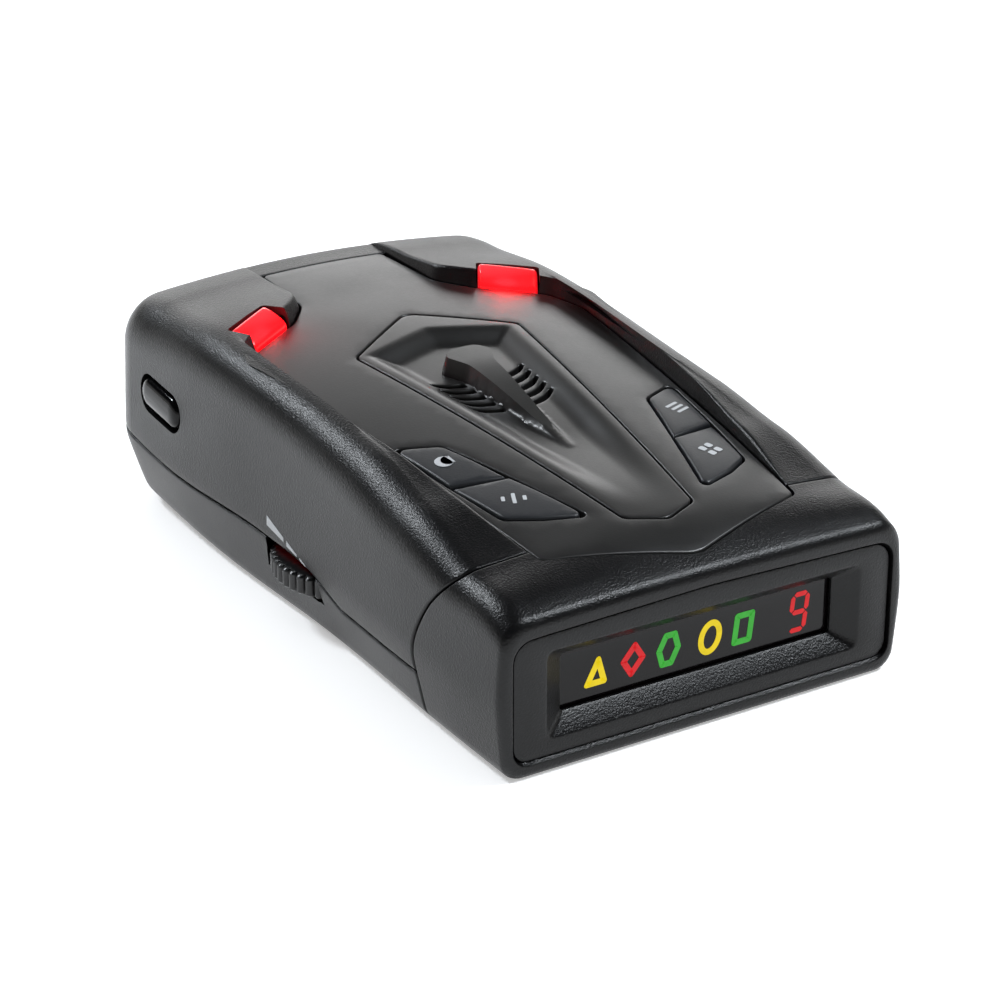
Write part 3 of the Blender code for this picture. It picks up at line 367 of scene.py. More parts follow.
def inside(points, outline):
    """Even-odd test of points against a closed outline."""
    x, y = points.real[:, None], points.imag[:, None]
    x0, y0 = outline.real[None, :], outline.imag[None, :]
    x1, y1 = np.roll(outline, -1).real[None, :], np.roll(outline, -1).imag[None, :]
    crosses = (y0 > y) != (y1 > y)
    with np.errstate(divide="ignore", invalid="ignore"):
        reach = x0 + (y - y0) * (x1 - x0) / (y1 - y0)
    return (np.sum(crosses & (x < reach), axis=1) % 2) == 1


def nearness(points, outline):
    """Distance from each point to the nearest corner of an outline."""
    return np.min(np.abs(points[:, None] - outline[None, :]), axis=1)


def sheet_fill(loops, spacing, ridges):
    """Triangles over the area between an outer outline and the holes in it, on an even scatter of points,
    with edges kept along the ridges."""
    outer = loops[0]
    xs = np.arange(outer.real.min(), outer.real.max(), spacing)
    ys = np.arange(outer.imag.min(), outer.imag.max(), spacing * 0.87)
    gx, gy = np.meshgrid(xs, ys)
    gx = gx + (np.arange(len(ys)) % 2)[:, None] * spacing * 0.5
    scatter = (gx + 1j * gy).ravel()
    good = inside(scatter, outer) & (nearness(scatter, outer) > spacing * 0.6)
    for hole in loops[1:]:
        good &= ~inside(scatter, hole) & (nearness(scatter, hole) > spacing * 0.6)
    for ridge in ridges:
        good &= nearness(scatter, ridge) > spacing * 0.5
    scatter = scatter[good]
    points = np.concatenate(list(loops) + list(ridges) + [scatter])
    edges = []
    start = 0
    for loop in list(loops) + list(ridges):
        ring = np.arange(len(loop))
        edges += np.stack([ring + start, (ring + 1) % len(loop) + start], axis=1).tolist()
        start += len(loop)
    flat = [Vector((p.real, p.imag)) for p in points]
    verts, _, faces, _, _, _ = delaunay_2d_cdt(flat, edges, [], 0, 1e-7)
    places = np.array([complex(v.x, v.y) for v in verts])
    triangles = np.array(faces)
    middles = places[triangles].mean(axis=1)
    keep = inside(middles, outer)
    for hole in loops[1:]:
        keep &= ~inside(middles, hole)
    walls = np.sort(np.array(edges[: sum(map(len, loops))]), axis=1)
    return places, triangles[slivers_settled(places, triangles, keep, walls)]


def slivers_settled(places, triangles, keep, walls):
    """Which triangles to keep: a sliver along an outline takes the answer of the neighbour it shares an edge
    with that is no part of an outline, and goes where there is none."""
    sides = places[triangles[:, 1:]] - places[triangles[:, :1]]
    answer = np.where(np.abs(np.imag(np.conj(sides[:, 0]) * sides[:, 1])) > 0.004, keep, -1).astype(int)
    ends = np.sort(np.concatenate([triangles[:, [0, 1]], triangles[:, [1, 2]], triangles[:, [2, 0]]]), axis=1)
    keys = ends[:, 0] * len(places) + ends[:, 1]
    order = np.argsort(keys, kind="stable")
    owners = np.tile(np.arange(len(triangles)), 3)[order]
    wall_keys = walls[:, 0] * len(places) + walls[:, 1]
    twice = (keys[order][1:] == keys[order][:-1]) & ~np.isin(keys[order][1:], wall_keys)
    first, second = owners[:-1][twice], owners[1:][twice]
    for _ in range(30):
        for a, b in ((first, second), (second, first)):
            told = (answer[b] < 0) & (answer[a] >= 0)
            answer[b[told]] = answer[a[told]]
    return answer == 1


EDGE_ANGLES = np.radians([0.0, 25.0, 50.0, 72.0, 90.0])


def plate(name, outline, holes, height, thick, edge, spacing, body, material, ridges=(), **more):
    """Plate with its top on a height formula: quarter-round edges of radius `edge` on every outline, straight
    walls down by `thick`, and an even fill between."""
    loops = [outline if turning(outline) > 0.0 else outline[::-1]]
    loops += [hole if turning(hole) < 0.0 else hole[::-1] for hole in holes]
    vertices, faces, inner, start = [], [], [], 0
    for number, loop in enumerate(loops):
        sign = -1.0 if number == 0 else 1.0
        rings = []
        for angle in EDGE_ANGLES:
            reach = sign * edge * (1.0 - math.cos(angle))
            moved = unfolded(grown(loop, reach), loop, reach)
            rings.append(flat_loop(moved, height(moved.real, moved.imag) - edge * (1.0 - math.sin(angle))))
        inner.append(unfolded(grown(loop, sign * edge), loop, edge))
        base = flat_loop(inner[-1], height(inner[-1].real, inner[-1].imag) - thick)
        side = flat_loop(loop, height(loop.real, loop.imag) - thick)
        rings = [base, side] + rings
        rows, columns = len(rings), len(loop)
        vertices.append(np.concatenate(rings))
        faces += grid_faces(rows, columns, close=True, start=start).tolist()
        start += rows * columns
    places, triangles = sheet_fill(inner, spacing, ridges)
    for drop in (0.0, thick):
        vertices.append(flat_loop(places, height(places.real, places.imag) - drop))
        faces += (triangles + start).tolist()
        start += len(places)
    return new_piece(name, np.concatenate(vertices), faces, body, material, **more)


def shape_with(piece, *tools):
    """Take closed tool bodies away from a piece and keep the result as its mesh."""
    for tool in tools:
        step = piece.modifiers.new("cut", "BOOLEAN")
        step.operation = "DIFFERENCE"
        step.solver = "EXACT"
        step.object = tool
    settle(piece)
    for tool in tools:
        bpy.data.objects.remove(tool, do_unlink=True)
    return piece


def settle(piece, sharp=35.0):
    """Apply every modifier, keep round surfaces smooth and mark the sharp edges."""
    view = bpy.context.evaluated_depsgraph_get()
    view.update()
    mesh = bpy.data.meshes.new_from_object(piece.evaluated_get(view))
    piece.modifiers.clear()
    piece.data = mesh
    mesh.shade_smooth()
    mesh.set_sharp_from_angle(angle=math.radians(sharp))
    return piece


def tool_prism(name, outline, z0, z1):
    """Upright cutting body over a plan outline."""
    return tube(name, [flat_loop(outline, z) for z in (z0, z1)], None, PLAIN)


def tool_bar(name, outline, x0, x1):
    """Cutting body across the case over a (y + i z) outline."""
    loops = [np.stack([np.full(outline.shape, x), outline.real, outline.imag], axis=-1) for x in (x0, x1)]
    return tube(name, loops, None, PLAIN)


def tool_beam(name, outline, y0, y1):
    """Cutting body along the case over an (x + i z) outline."""
    return tube(name, [section_points(outline, y) for y in (y0, y1)], None, PLAIN)


# ---------------------------------------------------------------- case envelope


def width(y):
    """Half width of the case, drawn in round the rear corners and the front rim."""
    rim = round_off(y - FRONT_Y, RIM_ROUND)
    return flowing(WIDTH_KNOTS, y) - round_off(REAR_Y - y, REAR_CORNER) - rim


def base_z(y):
    """Height of the underside, lifted round the rear heel and the front rim."""
    return round_off(REAR_Y - y, REAR_HEEL) + round_off(y - FRONT_Y, RIM_ROUND)


def fall(y):
    """How far the top has fallen round the rear edge and the front rim."""
    return round_off(REAR_Y - y, REAR_EDGE) + round_off(y - FRONT_Y, RIM_ROUND)


def hump(y):
    """Height of the shoulder over the crowned top."""
    return eased(SHOULDER_RISE, y) - fall(y)


def shoulder_z(x, y):
    """Top of the case outside the valley."""
    return crown(x, y) + hump(y)


def head_corner(y):
    """Corner where the wall's line meets the top, with the points before and after it."""
    head = width(y) - HEAD_LEAN
    corner = head + 1j * (shoulder_z(head, y) + 0.4)
    before = width(y) + 1j * WAIST_Z
    after = head * 0.62 + 1j * shoulder_z(head * 0.62, y)
    return before, corner, after


def wall_x(y, z):
    """Side wall: two leaning lines that meet at the waist, blended by a hyperbola."""
    wide = width(y)
    low = base_z(y)
    foot = wide - flowing(FOOT_LEAN, y)
    _, corner, _ = head_corner(y)
    lower = foot + (wide - foot) * (z - low) / (WAIST_Z - low)
    upper = wide - HEAD_LEAN * (z - WAIST_Z) / (corner.imag - WAIST_Z)
    middle, half = (lower + upper) / 2.0, (lower - upper) / 2.0
    return middle - np.sqrt(half * half + WAIST_SOFTNESS**2)


def head_arc(y, u):
    """Round of the shoulder, from the wall at u = 0 to the top at u = 1."""
    before, corner, after = head_corner(y)
    return corner_arc(before, corner, after, flowing(HEAD_ROUND, y), u)


def foot_arc(y, u):
    """Round of the foot, from the underside at u = 0 to the wall at u = 1."""
    wide, low = width(y), base_z(y)
    foot = wide - flowing(FOOT_LEAN, y)
    return corner_arc(1j * low, foot + 1j * low, wide + 1j * WAIST_Z, flowing(FOOT_ROUND, y), u)


def wall(y, z0, z1, u):
    """Wall from z0 to z1, drawn on to the head arc's start as it arrives there."""
    z = z0 + (z1 - z0) * u
    start = head_arc(y, 0.0)
    miss = start.real - wall_x(y, start.imag)
    near = np.clip((z - WAIST_Z) / np.maximum(start.imag - WAIST_Z, 0.1), 0.0, 1.0)
    return wall_x(y, z) + miss * near * near + 1j * z


def half_outline_x(outline, y):
    """Half width of an outline at y."""
    right = outline[outline.real > 0.02]
    order = np.argsort(right.imag)
    return np.interp(y, right.imag[order], right.real[order])


def seam_z(y):
    """Height of the seam between the upper and lower shells."""
    return flowing(SEAM_KNOTS, y)


def cap_seam_y(z):
    """Place of the bow-shaped seam between the cap and the case at a height."""
    return flowing(CAP_SEAM, z)


FINE_EDGE = np.array([0.0, 0.04, 0.15, 0.3, 0.5])




def bend_to_seam(nominal, section, start_y, fade, gap):
    """Stations whose front row lies on the cap's seam: a point's y is its nominal y plus the seam's shift at
    its own height, fading out over a length. Two rounds settle the height."""
    y = nominal
    for _ in range(3):
        z = section(y).imag
        shift = cap_seam_y(z) + gap - start_y
        y = nominal + shift * (1.0 - smooth(np.abs(nominal - start_y) / fade))
    return y


def closing_rows(points, centre_z, count):
    """Rows that shrink the last row towards a point on the rear face, so that the end is closed."""
    last = points[-1]
    scale = 1.0 - np.linspace(0.0, 1.0, count + 1)[1:, None, None]
    centre = np.array([0.0, REAR_Y, centre_z])
    return np.concatenate([points, centre + (last - centre) * scale])


def rear_stations(start, straight, count):
    """Stations from start to the rear end, spaced closer round the rear corner."""
    run = np.linspace(start, REAR_Y - REAR_CORNER, straight)
    turn = REAR_Y - REAR_CORNER * (1.0 - np.sin(np.linspace(0.0, math.pi / 2.0, count)))
    return np.concatenate([run, turn[1:]])


VALLEY_EDGE = panel_outline(GAP, rear_y=80.0)
VALLEY_TOP = panel_outline(GAP + 2.5, rear_y=80.0)


def upper_section(y):
    """Right half of the upper shell: rolled seam edge, wall, shoulder round, shoulder top, soft crest, slope
    down to the panel, rolled edge and the short wall beside the panel. y holds one station per point."""
    parts = []
    column = 0

    def take(count):
        nonlocal column
        piece = y[:, column : column + count]
        column += count
        return piece

    ys = take(24)
    u = np.concatenate([FINE_EDGE * 0.03, np.linspace(0.05, 1.0, 19)])[None, :]
    top = head_arc(ys, 0.0).imag
    low = seam_z(ys) + GAP / 2.0
    skin = wall(ys, low, top, u)
    parts.append(skin - round_off(skin.imag - low, SEAM_ROLL))
    ys = take(14)
    parts.append(head_arc(ys, np.linspace(0.0, 1.0, 15)[None, 1:]))
    edge = half_outline_x(VALLEY_EDGE, y)
    height = np.maximum(hump(y), 0.0)
    spread = (half_outline_x(VALLEY_TOP, y) - edge) / 2.5 * (height + 0.2) * VALLEY_SPREAD
    crest = edge + spread + 0.02
    ys = take(12)
    end = head_arc(ys, 1.0)
    inner = crest[:, column - 12 : column]
    reach = np.minimum(1.3, 0.3 * np.abs(end.real - inner))
    u = np.linspace(0.0, 1.0, 13)[None, 1:]
    x = end.real + (inner + reach - end.real) * u
    parts.append(x + 1j * (shoulder_z(x, ys) + (end.imag - shoulder_z(end.real, ys)) * (1.0 - u) ** 2))
    ys = take(7)
    here = slice(column - 7, column)
    floor = crown(edge, y) + np.minimum(hump(y), 0.0)
    corner = crest[:, here] + 1j * shoulder_z(crest[:, here], ys)
    out_x = crest[:, here] + reach[:, :1] * 1.02
    foot = edge[:, here] + 1j * floor[:, here]
    brow = out_x + 1j * shoulder_z(out_x, ys)
    parts.append(corner_arc(brow, corner, foot, 0.9, np.linspace(0.0, 1.0, 7)[None, :]))
    ys = take(6)
    here = slice(column - 6, column)
    corner = crest[:, here] + 1j * shoulder_z(crest[:, here], ys)
    foot = edge[:, here] + 1j * floor[:, here]
    under = foot - 0.9j
    parts.append(corner_arc(corner, foot, under, 0.35, np.linspace(0.0, 1.0, 6)[None, :]))
    return np.concatenate(parts, axis=1)


UPPER_COLUMNS = 24 + 14 + 12 + 7 + 6


def make_upper_shell():
    """Upper shell: both side grids, the strip that joins them behind the panel, and the flat rear face."""
    neck_rear = PANEL_HALF[0][1] + GAP
    front = -40.0
    stations = np.concatenate([front + FINE_EDGE, np.linspace(front + 0.9, 20.0, 75)])
    stations = np.concatenate([stations, np.linspace(20.4, neck_rear - 0.4, 62), [neck_rear]])
    rear = rear_stations(neck_rear + 0.4, 4, 18)
    stations = np.concatenate([stations, rear])
    nominal = np.repeat(stations[:, None], UPPER_COLUMNS, axis=1)
    y = bend_to_seam(nominal, upper_section, front, 24.0, GAP / 2.0)
    section = upper_section(y)
    lead = (nominal - front)
    section = section - unit(section - 15j) * round_off(lead, SEAM_ROLL) * (lead < 1.0)
    right = section_points(section, y)
    rear_rows = len(rear) + 1
    behind = right[-rear_rows:]
    joint = behind[:, -6:-5]
    u = np.linspace(1.0, -1.0, 25)[None, :]
    strip_x = joint[:, :, 0] * u
    strip_y = np.broadcast_to(behind[:, -6:-5, 1], strip_x.shape)
    strip_z = crown(strip_x, strip_y) + np.minimum(hump(strip_y), 0.0)
    strip_z = strip_z + (joint[:, :, 2] - strip_z[:, :1]) * np.abs(u) ** 3
    strip = np.stack([strip_x, strip_y, strip_z], axis=-1)
    whole = np.concatenate([behind[:, :-5], strip[:, 1:-1], (behind[:, :-5] * [-1, 1, 1])[:, ::-1]], axis=1)
    whole = closing_rows(whole, seam_z(REAR_Y) + GAP / 2.0, 5)
    vertices = [stack(whole)]
    faces = grid_faces(*whole.shape[:2]).tolist()
    start = whole.shape[0] * whole.shape[1]
    lip = strip[:1].repeat(4, axis=0).copy()
    lip[:, :, 1] -= np.array([0.0, 0.12, 0.2, 0.24])[:, None]
    lip[:, :, 2] -= np.array([0.0, 0.04, 0.12, 0.3])[:, None]
    sides = right[: -rear_rows + 1]
    for points in (lip, sides, (sides * [-1, 1, 1])[:, ::-1]):
        vertices.append(stack(points))
        faces += grid_faces(*points.shape[:2], start=start).tolist()
        start += points.shape[0] * points.shape[1]
    return vertices, faces


def inner_skin(points):
    """Inside of a shell's wall: walls move towards the middle, the top down, the underside up and both ends
    inwards, each by the wall times a smooth step, so that the two skins never meet."""
    x, y, z = points.T
    sideways = np.sign(x) * smooth((np.abs(x) - 29.5) / 3.0) * smooth((y - FRONT_Y - 0.1) / 1.5)
    moved = points.copy()
    moved[:, 0] -= SHELL * sideways
    moved[:, 1] += SHELL * (smooth((FRONT_Y + 3.0 - y) / 2.5) - smooth((y - REAR_Y + 6.0) / 4.0))
    moved[:, 2] += SHELL * (smooth((4.0 - z) / 3.0) - smooth((z - 15.0) / 8.0))
    return moved


def finish_shell(name, vertices, faces, replaced, tools, material):
    """Skin given its inner side and the rim between them, cut by its tools and put in its place."""
    skin = new_piece(name + "_skin", np.concatenate(vertices), faces, None, material)
    outer = np.array([v.co for v in skin.data.vertices]) / MM
    polygons = [list(p.vertices) for p in skin.data.polygons]
    bpy.data.objects.remove(skin, do_unlink=True)
    count = len(outer)
    pairs = {(a, b) for p in polygons for a, b in zip(p, p[1:] + p[:1])}
    rims = [[b, a, a + count, b + count] for a, b in pairs if (b, a) not in pairs]
    lining = [[k + count for k in reversed(p)] for p in polygons]
    points = np.concatenate([outer, inner_skin(outer)])
    shell = new_piece(name, points, polygons + lining + rims, "housing", material, replaced=replaced,
                      slot="case_black")
    return shape_with(shell, *tools)


def rear_window_outline(grow=0.0):
    """Window in the rear end: a wide rectangle with small round corners."""
    low, high = node_box("rear_window")
    half = high[0] + grow
    z0, z1 = low[2] - grow, high[2] + grow
    return rounded([(-half, z0), (half, z0), (half, z1), (-half, z1)], [1.5] * 4, 6)


def pill_outline(grow=0.0):
    """Release button: two half circles joined by straight sides, tipped a little forwards (y + i z)."""
    low, high = node_box("release_button")
    turn = np.linspace(-math.pi / 2.0, math.pi / 2.0, 17)
    radius = RELEASE_HEIGHT / 2.0 + grow
    reach = RELEASE_LENGTH / 2.0 - RELEASE_HEIGHT / 2.0
    end = reach + radius * np.exp(1j * turn)
    middle = (low[1] + high[1]) / 2.0 + 1j * RELEASE_Z
    return middle + np.concatenate([end, -end]) * np.exp(1j * RELEASE_TILT)


RELEASE_HEIGHT = 5.0
RELEASE_LENGTH = 12.6
RELEASE_Z = 21.6
RELEASE_TILT = math.radians(5.0)


def upper_tools():
    """Cutters for the lamp notches, the release, the rear window, the bracket slot and the power socket."""
    notch = lens_outline(GAP)
    tools = [tool_prism("right_notch", notch, 25.0, 60.0)]
    tools.append(tool_prism("left_notch", mirrored(notch), 25.0, 60.0))
    tools.append(tool_bar("release_hole", pill_outline(0.7), -60.0, -25.0))
    tools.append(tool_beam("window_hole", rear_window_outline(GAP), 50.0, 80.0))
    socket = node_box("bracket_socket")
    half = socket[1][0] - 1.2
    z0, z1 = socket[0][2] + 1.0, socket[1][2] - 1.0
    slot = rounded([(-half, z0), (half, z0), (half, z1), (-half, z1)], [0.4] * 4, 3)
    tools.append(tool_beam("slot_hole", slot, 50.0, 80.0))
    jack = node_box("power_jack")
    middle = complex((jack[0][1] + jack[1][1]) / 2.0, (jack[0][2] + jack[1][2]) / 2.0)
    ring = middle + 3.7 * np.exp(1j * np.linspace(0.0, 2.0 * math.pi, 48, endpoint=False))
    tools.append(tool_bar("jack_hole", ring, 28.0, 60.0))
    return tools


def lower_section(y):
    """Right half of the lower shell: flat underside, foot round and the wall up to its rolled seam edge."""
    flat = y[:, :10]
    foot = foot_arc(flat, 0.0)
    u = np.linspace(0.0, 1.0, 11)[None, :10]
    parts = [foot.real * u + 1j * foot.imag]
    parts.append(foot_arc(y[:, 10:20], np.linspace(0.0, 1.0, 10)[None, :]))
    ys = y[:, 20:]
    u = 1.0 - np.concatenate([FINE_EDGE * 0.08, np.linspace(0.08, 1.0, 14)])[::-1][None, 1:]
    low = foot_arc(ys, 1.0)
    high = seam_z(ys) - GAP / 2.0
    z = low.imag + (high - low.imag) * u
    miss = low.real - wall_x(ys, low.imag)
    skin = wall_x(ys, z) + miss * (1.0 - u) ** 2 + 1j * z
    parts.append(skin - round_off(high - skin.imag, SEAM_ROLL))
    return np.concatenate(parts, axis=1)


LOWER_COLUMNS = 20 + 18


def make_lower_shell():
    """Lower shell: one grid from keel to seam on each side, closed by rows on the rear face."""
    front = -38.3
    stations = np.concatenate([front + FINE_EDGE, np.linspace(front + 0.9, 40.0, 90)])
    stations = np.concatenate([stations, rear_stations(40.8, 12, 18)])
    nominal = np.repeat(stations[:, None], LOWER_COLUMNS, axis=1)
    y = bend_to_seam(nominal, lower_section, front, 14.0, GAP / 2.0)
    section = lower_section(y)
    lead = nominal - front
    section = section - unit(section - 8j) * round_off(lead, SEAM_ROLL) * (lead < 1.0)
    right = section_points(section, y)
    whole = np.concatenate([(right * [-1, 1, 1])[:, :0:-1], right], axis=1)
    whole = closing_rows(whole, seam_z(REAR_Y) - GAP / 2.0, 5)
    return [stack(whole)], grid_faces(*whole.shape[:2]).tolist()


def lower_tools():
    """Cutters for the wheel's window and the four screw recesses."""
    low, high = node_box("volume_wheel")
    middle = complex((low[0] + high[0]) / 2.0, (low[1] + high[1]) / 2.0)
    around = np.exp(1j * np.linspace(0.0, 2.0 * math.pi, 96, endpoint=False))
    tools = [tool_prism("wheel_room", middle + (high[0] - middle.real + 0.5) * around, low[2] - GAP, 30.0)]
    window = rounded([(-8.7, low[2] - 0.5), (5.9, low[2] - 0.5), (5.9, 20.0), (-8.7, 20.0)], [0.5] * 4, 4)
    tools.append(tool_bar("wheel_window", window, -60.0, -27.0))
    for k in range(1, 5):
        low, high = node_box("case_screw_%d" % k)
        middle = complex((low[0] + high[0]) / 2.0, (low[1] + high[1]) / 2.0)
        tools.append(tool_prism("screw_recess_%d" % k, middle + 2.7 * around[::2], -5.0, 20.0))
    return tools


def cap_section(y):
    """Right half of the cap: underside, foot round, wall, shoulder round and the top to the middle."""
    flat = y[:, :10]
    foot = foot_arc(flat, 0.0)
    parts = [foot.real * np.linspace(0.0, 1.0, 11)[None, :10] + 1j * foot.imag]
    parts.append(foot_arc(y[:, 10:20], np.linspace(0.0, 1.0, 10)[None, :]))
    ys = y[:, 20:40]
    low = foot_arc(ys, 1.0)
    top = head_arc(ys, 0.0).imag
    u = np.linspace(0.0, 1.0, 22)[None, 1:-1]
    z = low.imag + (top - low.imag) * u
    miss_low = low.real - wall_x(ys, low.imag)
    start = head_arc(ys, 0.0)
    miss_high = start.real - wall_x(ys, start.imag)
    parts.append(wall_x(ys, z) + miss_low * (1.0 - u) ** 3 + miss_high * u**2 + 1j * z)
    parts.append(head_arc(y[:, 40:54], np.linspace(0.0, 1.0, 14)[None, :]))
    ys = y[:, 54:]
    end = head_arc(ys, 1.0)
    u = np.linspace(0.0, 1.0, 25)[None, 1:]
    x = end.real * (1.0 - u)
    step = end.imag - shoulder_z(end.real, ys)
    parts.append(x + 1j * (shoulder_z(x, ys) + step * (1.0 - u) ** 2 * (u < 1.0)))
    return np.concatenate(parts, axis=1)


CAP_COLUMNS = 54 + 24
BEZEL_Y = -58.9


def bezel_outline(grow=0.0, steps=6):
    """Face frame: square sides, a slightly bowed top and small round corners (x + i z)."""
    low, high = node_box("display_bezel")
    half = high[0] + 0.01
    z0, z1 = low[2], high[2] - 0.8
    corners = [(half, z0), (half, z1), (0.0, z1 + 0.85), (-half, z1), (-half, z0)]
    return rounded(grown_corners(corners, grow), [2.4, 3.0, 60.0, 3.0, 2.4], steps)


def on_ray(loop, directions, centre):
    """Points of a star-shaped loop in given directions from its centre, read from its radius by angle."""
    spokes = dense(loop, 0.2) - centre
    order = np.argsort(np.angle(spokes))
    angles, radii = np.angle(spokes)[order], np.abs(spokes)[order]
    angles = np.concatenate([angles - 2.0 * math.pi, angles, angles + 2.0 * math.pi])
    radii = np.tile(radii, 3)
    wanted = np.angle(directions)
    return centre + np.exp(1j * wanted) * np.interp(wanted, angles, radii)


def make_cap():
    """Front cap: closed rings from its bow-shaped seam to the rounded rim, then over the flat face, round the
    rebate's edge and back along the rebate's wall."""
    seam = -39.6
    run = np.linspace(seam - 0.9, FRONT_Y + RIM_ROUND, 40)
    turn = FRONT_Y + RIM_ROUND * (1.0 - np.sin(np.linspace(0.0, math.pi / 2.0, 10)))
    stations = np.concatenate([seam - FINE_EDGE, run, turn[1:]])
    nominal = np.repeat(stations[:, None], CAP_COLUMNS, axis=1)
    y = bend_to_seam(nominal, cap_section, seam, 17.5, -GAP / 2.0)
    section = cap_section(y)
    lead = seam - nominal
    section = section - unit(section - 12j) * round_off(lead, SEAM_ROLL) * (lead < 1.0)
    right = section_points(section, y)
    whole = np.concatenate([right, (right * [-1, 1, 1])[:, -2:0:-1]], axis=1)
    rim = whole[-1, :, 0] + 1j * whole[-1, :, 2]
    centre = 11.2j
    hole = on_ray(bezel_outline(GAP), rim - centre, centre)
    rows = [whole]
    for share, back in ((0.4, 0.0), (0.75, 0.0), (0.93, 0.05), (1.0, 0.2)):
        rows.append(section_points(rim + (hole - rim) * share, FRONT_Y + back)[None])
    whole = np.concatenate(rows)
    return [stack(whole)], grid_faces(*whole.shape[:2], close=True).tolist()


def make_shells(black):
    """Three shells of the case."""
    finish_shell("upper_shell", *make_upper_shell(), ["top_case"], upper_tools(), black)
    finish_shell("lower_shell", *make_lower_shell(), ["bottom_case"], lower_tools(), black)
    recess = tool_prism("panel_room", dense(panel_outline(GAP), 2.0), 10.0, 60.0)
    finish_shell("display_cap", *make_cap(), ["front_cap"], [recess], black)


# ---------------------------------------------------------------- top panel, insert and keys


def pair_hole():
    """Hole in the panel round the right pair of keys."""
    return dense(rounded(grown_corners(PAIR_OUTLINE, 0.35), PAIR_RADII), 1.2)


def make_panel(material):
    """Crowned trim plate with holes for the insert and both pairs of keys."""
    holes = [dense(insert_outline(GAP), 1.4), pair_hole(), mirrored(pair_hole())]
    outline = dense(panel_outline(), 1.6)
    plate("trim_panel", outline, holes, crown, PANEL_THICK, 0.3, 1.7, "housing", material,
          replaced=["top_panel"], slot="panel_charcoal")


HOOD_TIP_Y = -28.0
HOOD_KNEE = (2.2, -0.5)
HOOD_CORNER = (3.9, 3.2)
HOOD_REAR = (2.4, 5.4)
HOOD_FLANK = 0.7
HOOD_RISE = 1.0
BOWL_DEPTH = 1.7
SLOT_COUNT = 5


def hood_outline(grow=0.0):
    """Plan of the hood: a long wedge from its front point to a knee, a flare, and a blunt rear end."""
    right = [HOOD_KNEE, HOOD_CORNER, HOOD_REAR]
    corners = [(0.0, HOOD_TIP_Y)] + right + [(-x, y) for x, y in reversed(right)]
    return dense(rounded(grown_corners(corners, grow), [0.3, 4.0, 1.2, 1.6, 1.6, 1.2, 4.0]), 0.5)


def insert_height(x, y):
    """Crowned top with a bowl sunk inside a flat border, and a hood down its middle: flat across, rising from
    nothing at its front point to its full height at the rear, with a steep flank all round."""
    reach = np.clip((y - INSERT_TIP[1]) / (INSERT_SHOULDER[1] - INSERT_TIP[1]), 0.0, 1.0)
    half = INSERT_TOE[0] + (INSERT_SHOULDER[0] - INSERT_TOE[0]) * reach
    border = np.minimum(half - np.abs(x) - 1.2, (16.6 - y - 0.35 * np.abs(x)) * 0.9)
    bowl = -BOWL_DEPTH * smooth(border / 4.6) * smooth((y - INSERT_TIP[1] - 3.0) / 26.0)
    spot = x + 1j * y
    plan = hood_outline()
    out = np.where(inside(spot, plan), 0.0, nearness(spot, dense(plan, 0.12)))
    along = np.clip((y - HOOD_TIP_Y) / (HOOD_REAR[1] - HOOD_TIP_Y), 0.0, 1.0)
    hood = (BOWL_DEPTH + HOOD_RISE) * smooth(1.15 * along) * np.clip(1.0 - out / HOOD_FLANK, 0.0, 1.0)
    return crown(x, y) + bowl + hood


def grille_slot(side, k):
    """Outline of one grille slot: a slanted bar with round ends, bowed towards the front."""
    rear = 0.75 - 2.35 * k
    inner, outer = 3.15 - 0.24 * k, 8.0 - 0.2 * k
    corners = [(inner, rear - 2.7), (outer, rear - 0.4), (outer, rear + 0.75), (inner, rear - 1.55)]
    bar = dense(rounded(corners, [0.4] * 4, 4), 0.5)
    share = np.clip((bar.real - inner) / (outer - inner), 0.0, 1.0)
    bar = bar - 0.45j * np.sin(math.pi * share)
    return bar if side > 0 else mirrored(bar)


def make_insert(material):
    """Speaker insert with its bowl, hood and two fans of grille slots."""
    slots = [grille_slot(side, k) for side in (-1, 1) for k in range(SLOT_COUNT)]
    plate("grille_insert", dense(insert_outline(), 0.9), slots, insert_height, PANEL_THICK, 0.22, 0.55,
          "housing", material, ridges=[hood_outline(), hood_outline(HOOD_FLANK)], replaced=["speaker_insert"],
          slot="panel_charcoal", smooth_angle=40.0)


def make_keys(material):
    """Four key caps, slightly domed, with rounded edges."""
    for side, side_name in ((-1, "left"), (1, "right")):
        for which in ("rear", "front"):
            outline = thinned(key_outline(which), 0.12)
            outline = outline if side > 0 else mirrored(outline)
            middle = outline.mean()

            def domed(x, y):
                away = np.abs(x + 1j * y - middle)
                return crown(x, y) + 0.25 - 0.0035 * away * away

            name = "%s_%s" % (side_name, which)
            plate(name + "_keycap", outline, [], domed, 2.4, 0.45, 0.9, name + "_key", material,
                  replaced=[name + "_button"], slot="button_rubber")


def lens_height(x, y):
    """Lamp face: level with the panel at its front edge and rising evenly towards the shoulder."""
    inner, outer = complex(*LENS_INNER), complex(*LENS_OUTER)
    away = unit(outer - inner) * 1j
    depth = np.real((np.abs(x) + 1j * y - inner) * np.conj(away)) / LENS_DEPTH
    return crown(x, y) + 0.15 + LENS_RISE * np.sin(0.5 * math.pi * np.clip(0.08 + 0.9 * depth, 0.0, 1.0))


def make_lamps(material):
    """Two alert lenses with softly rounded edges."""
    for side, word in ((-1, "left"), (1, "right")):
        outline = dense(lens_outline(), 0.6)
        outline = outline if side > 0 else mirrored(outline)
        plate(word + "_lamp", outline, [], lens_height, 5.0, 0.8, 0.6, "housing", material,
              replaced=[word + "_alert_lens"], slot="lamp_red")


# ---------------------------------------------------------------- side and end pieces


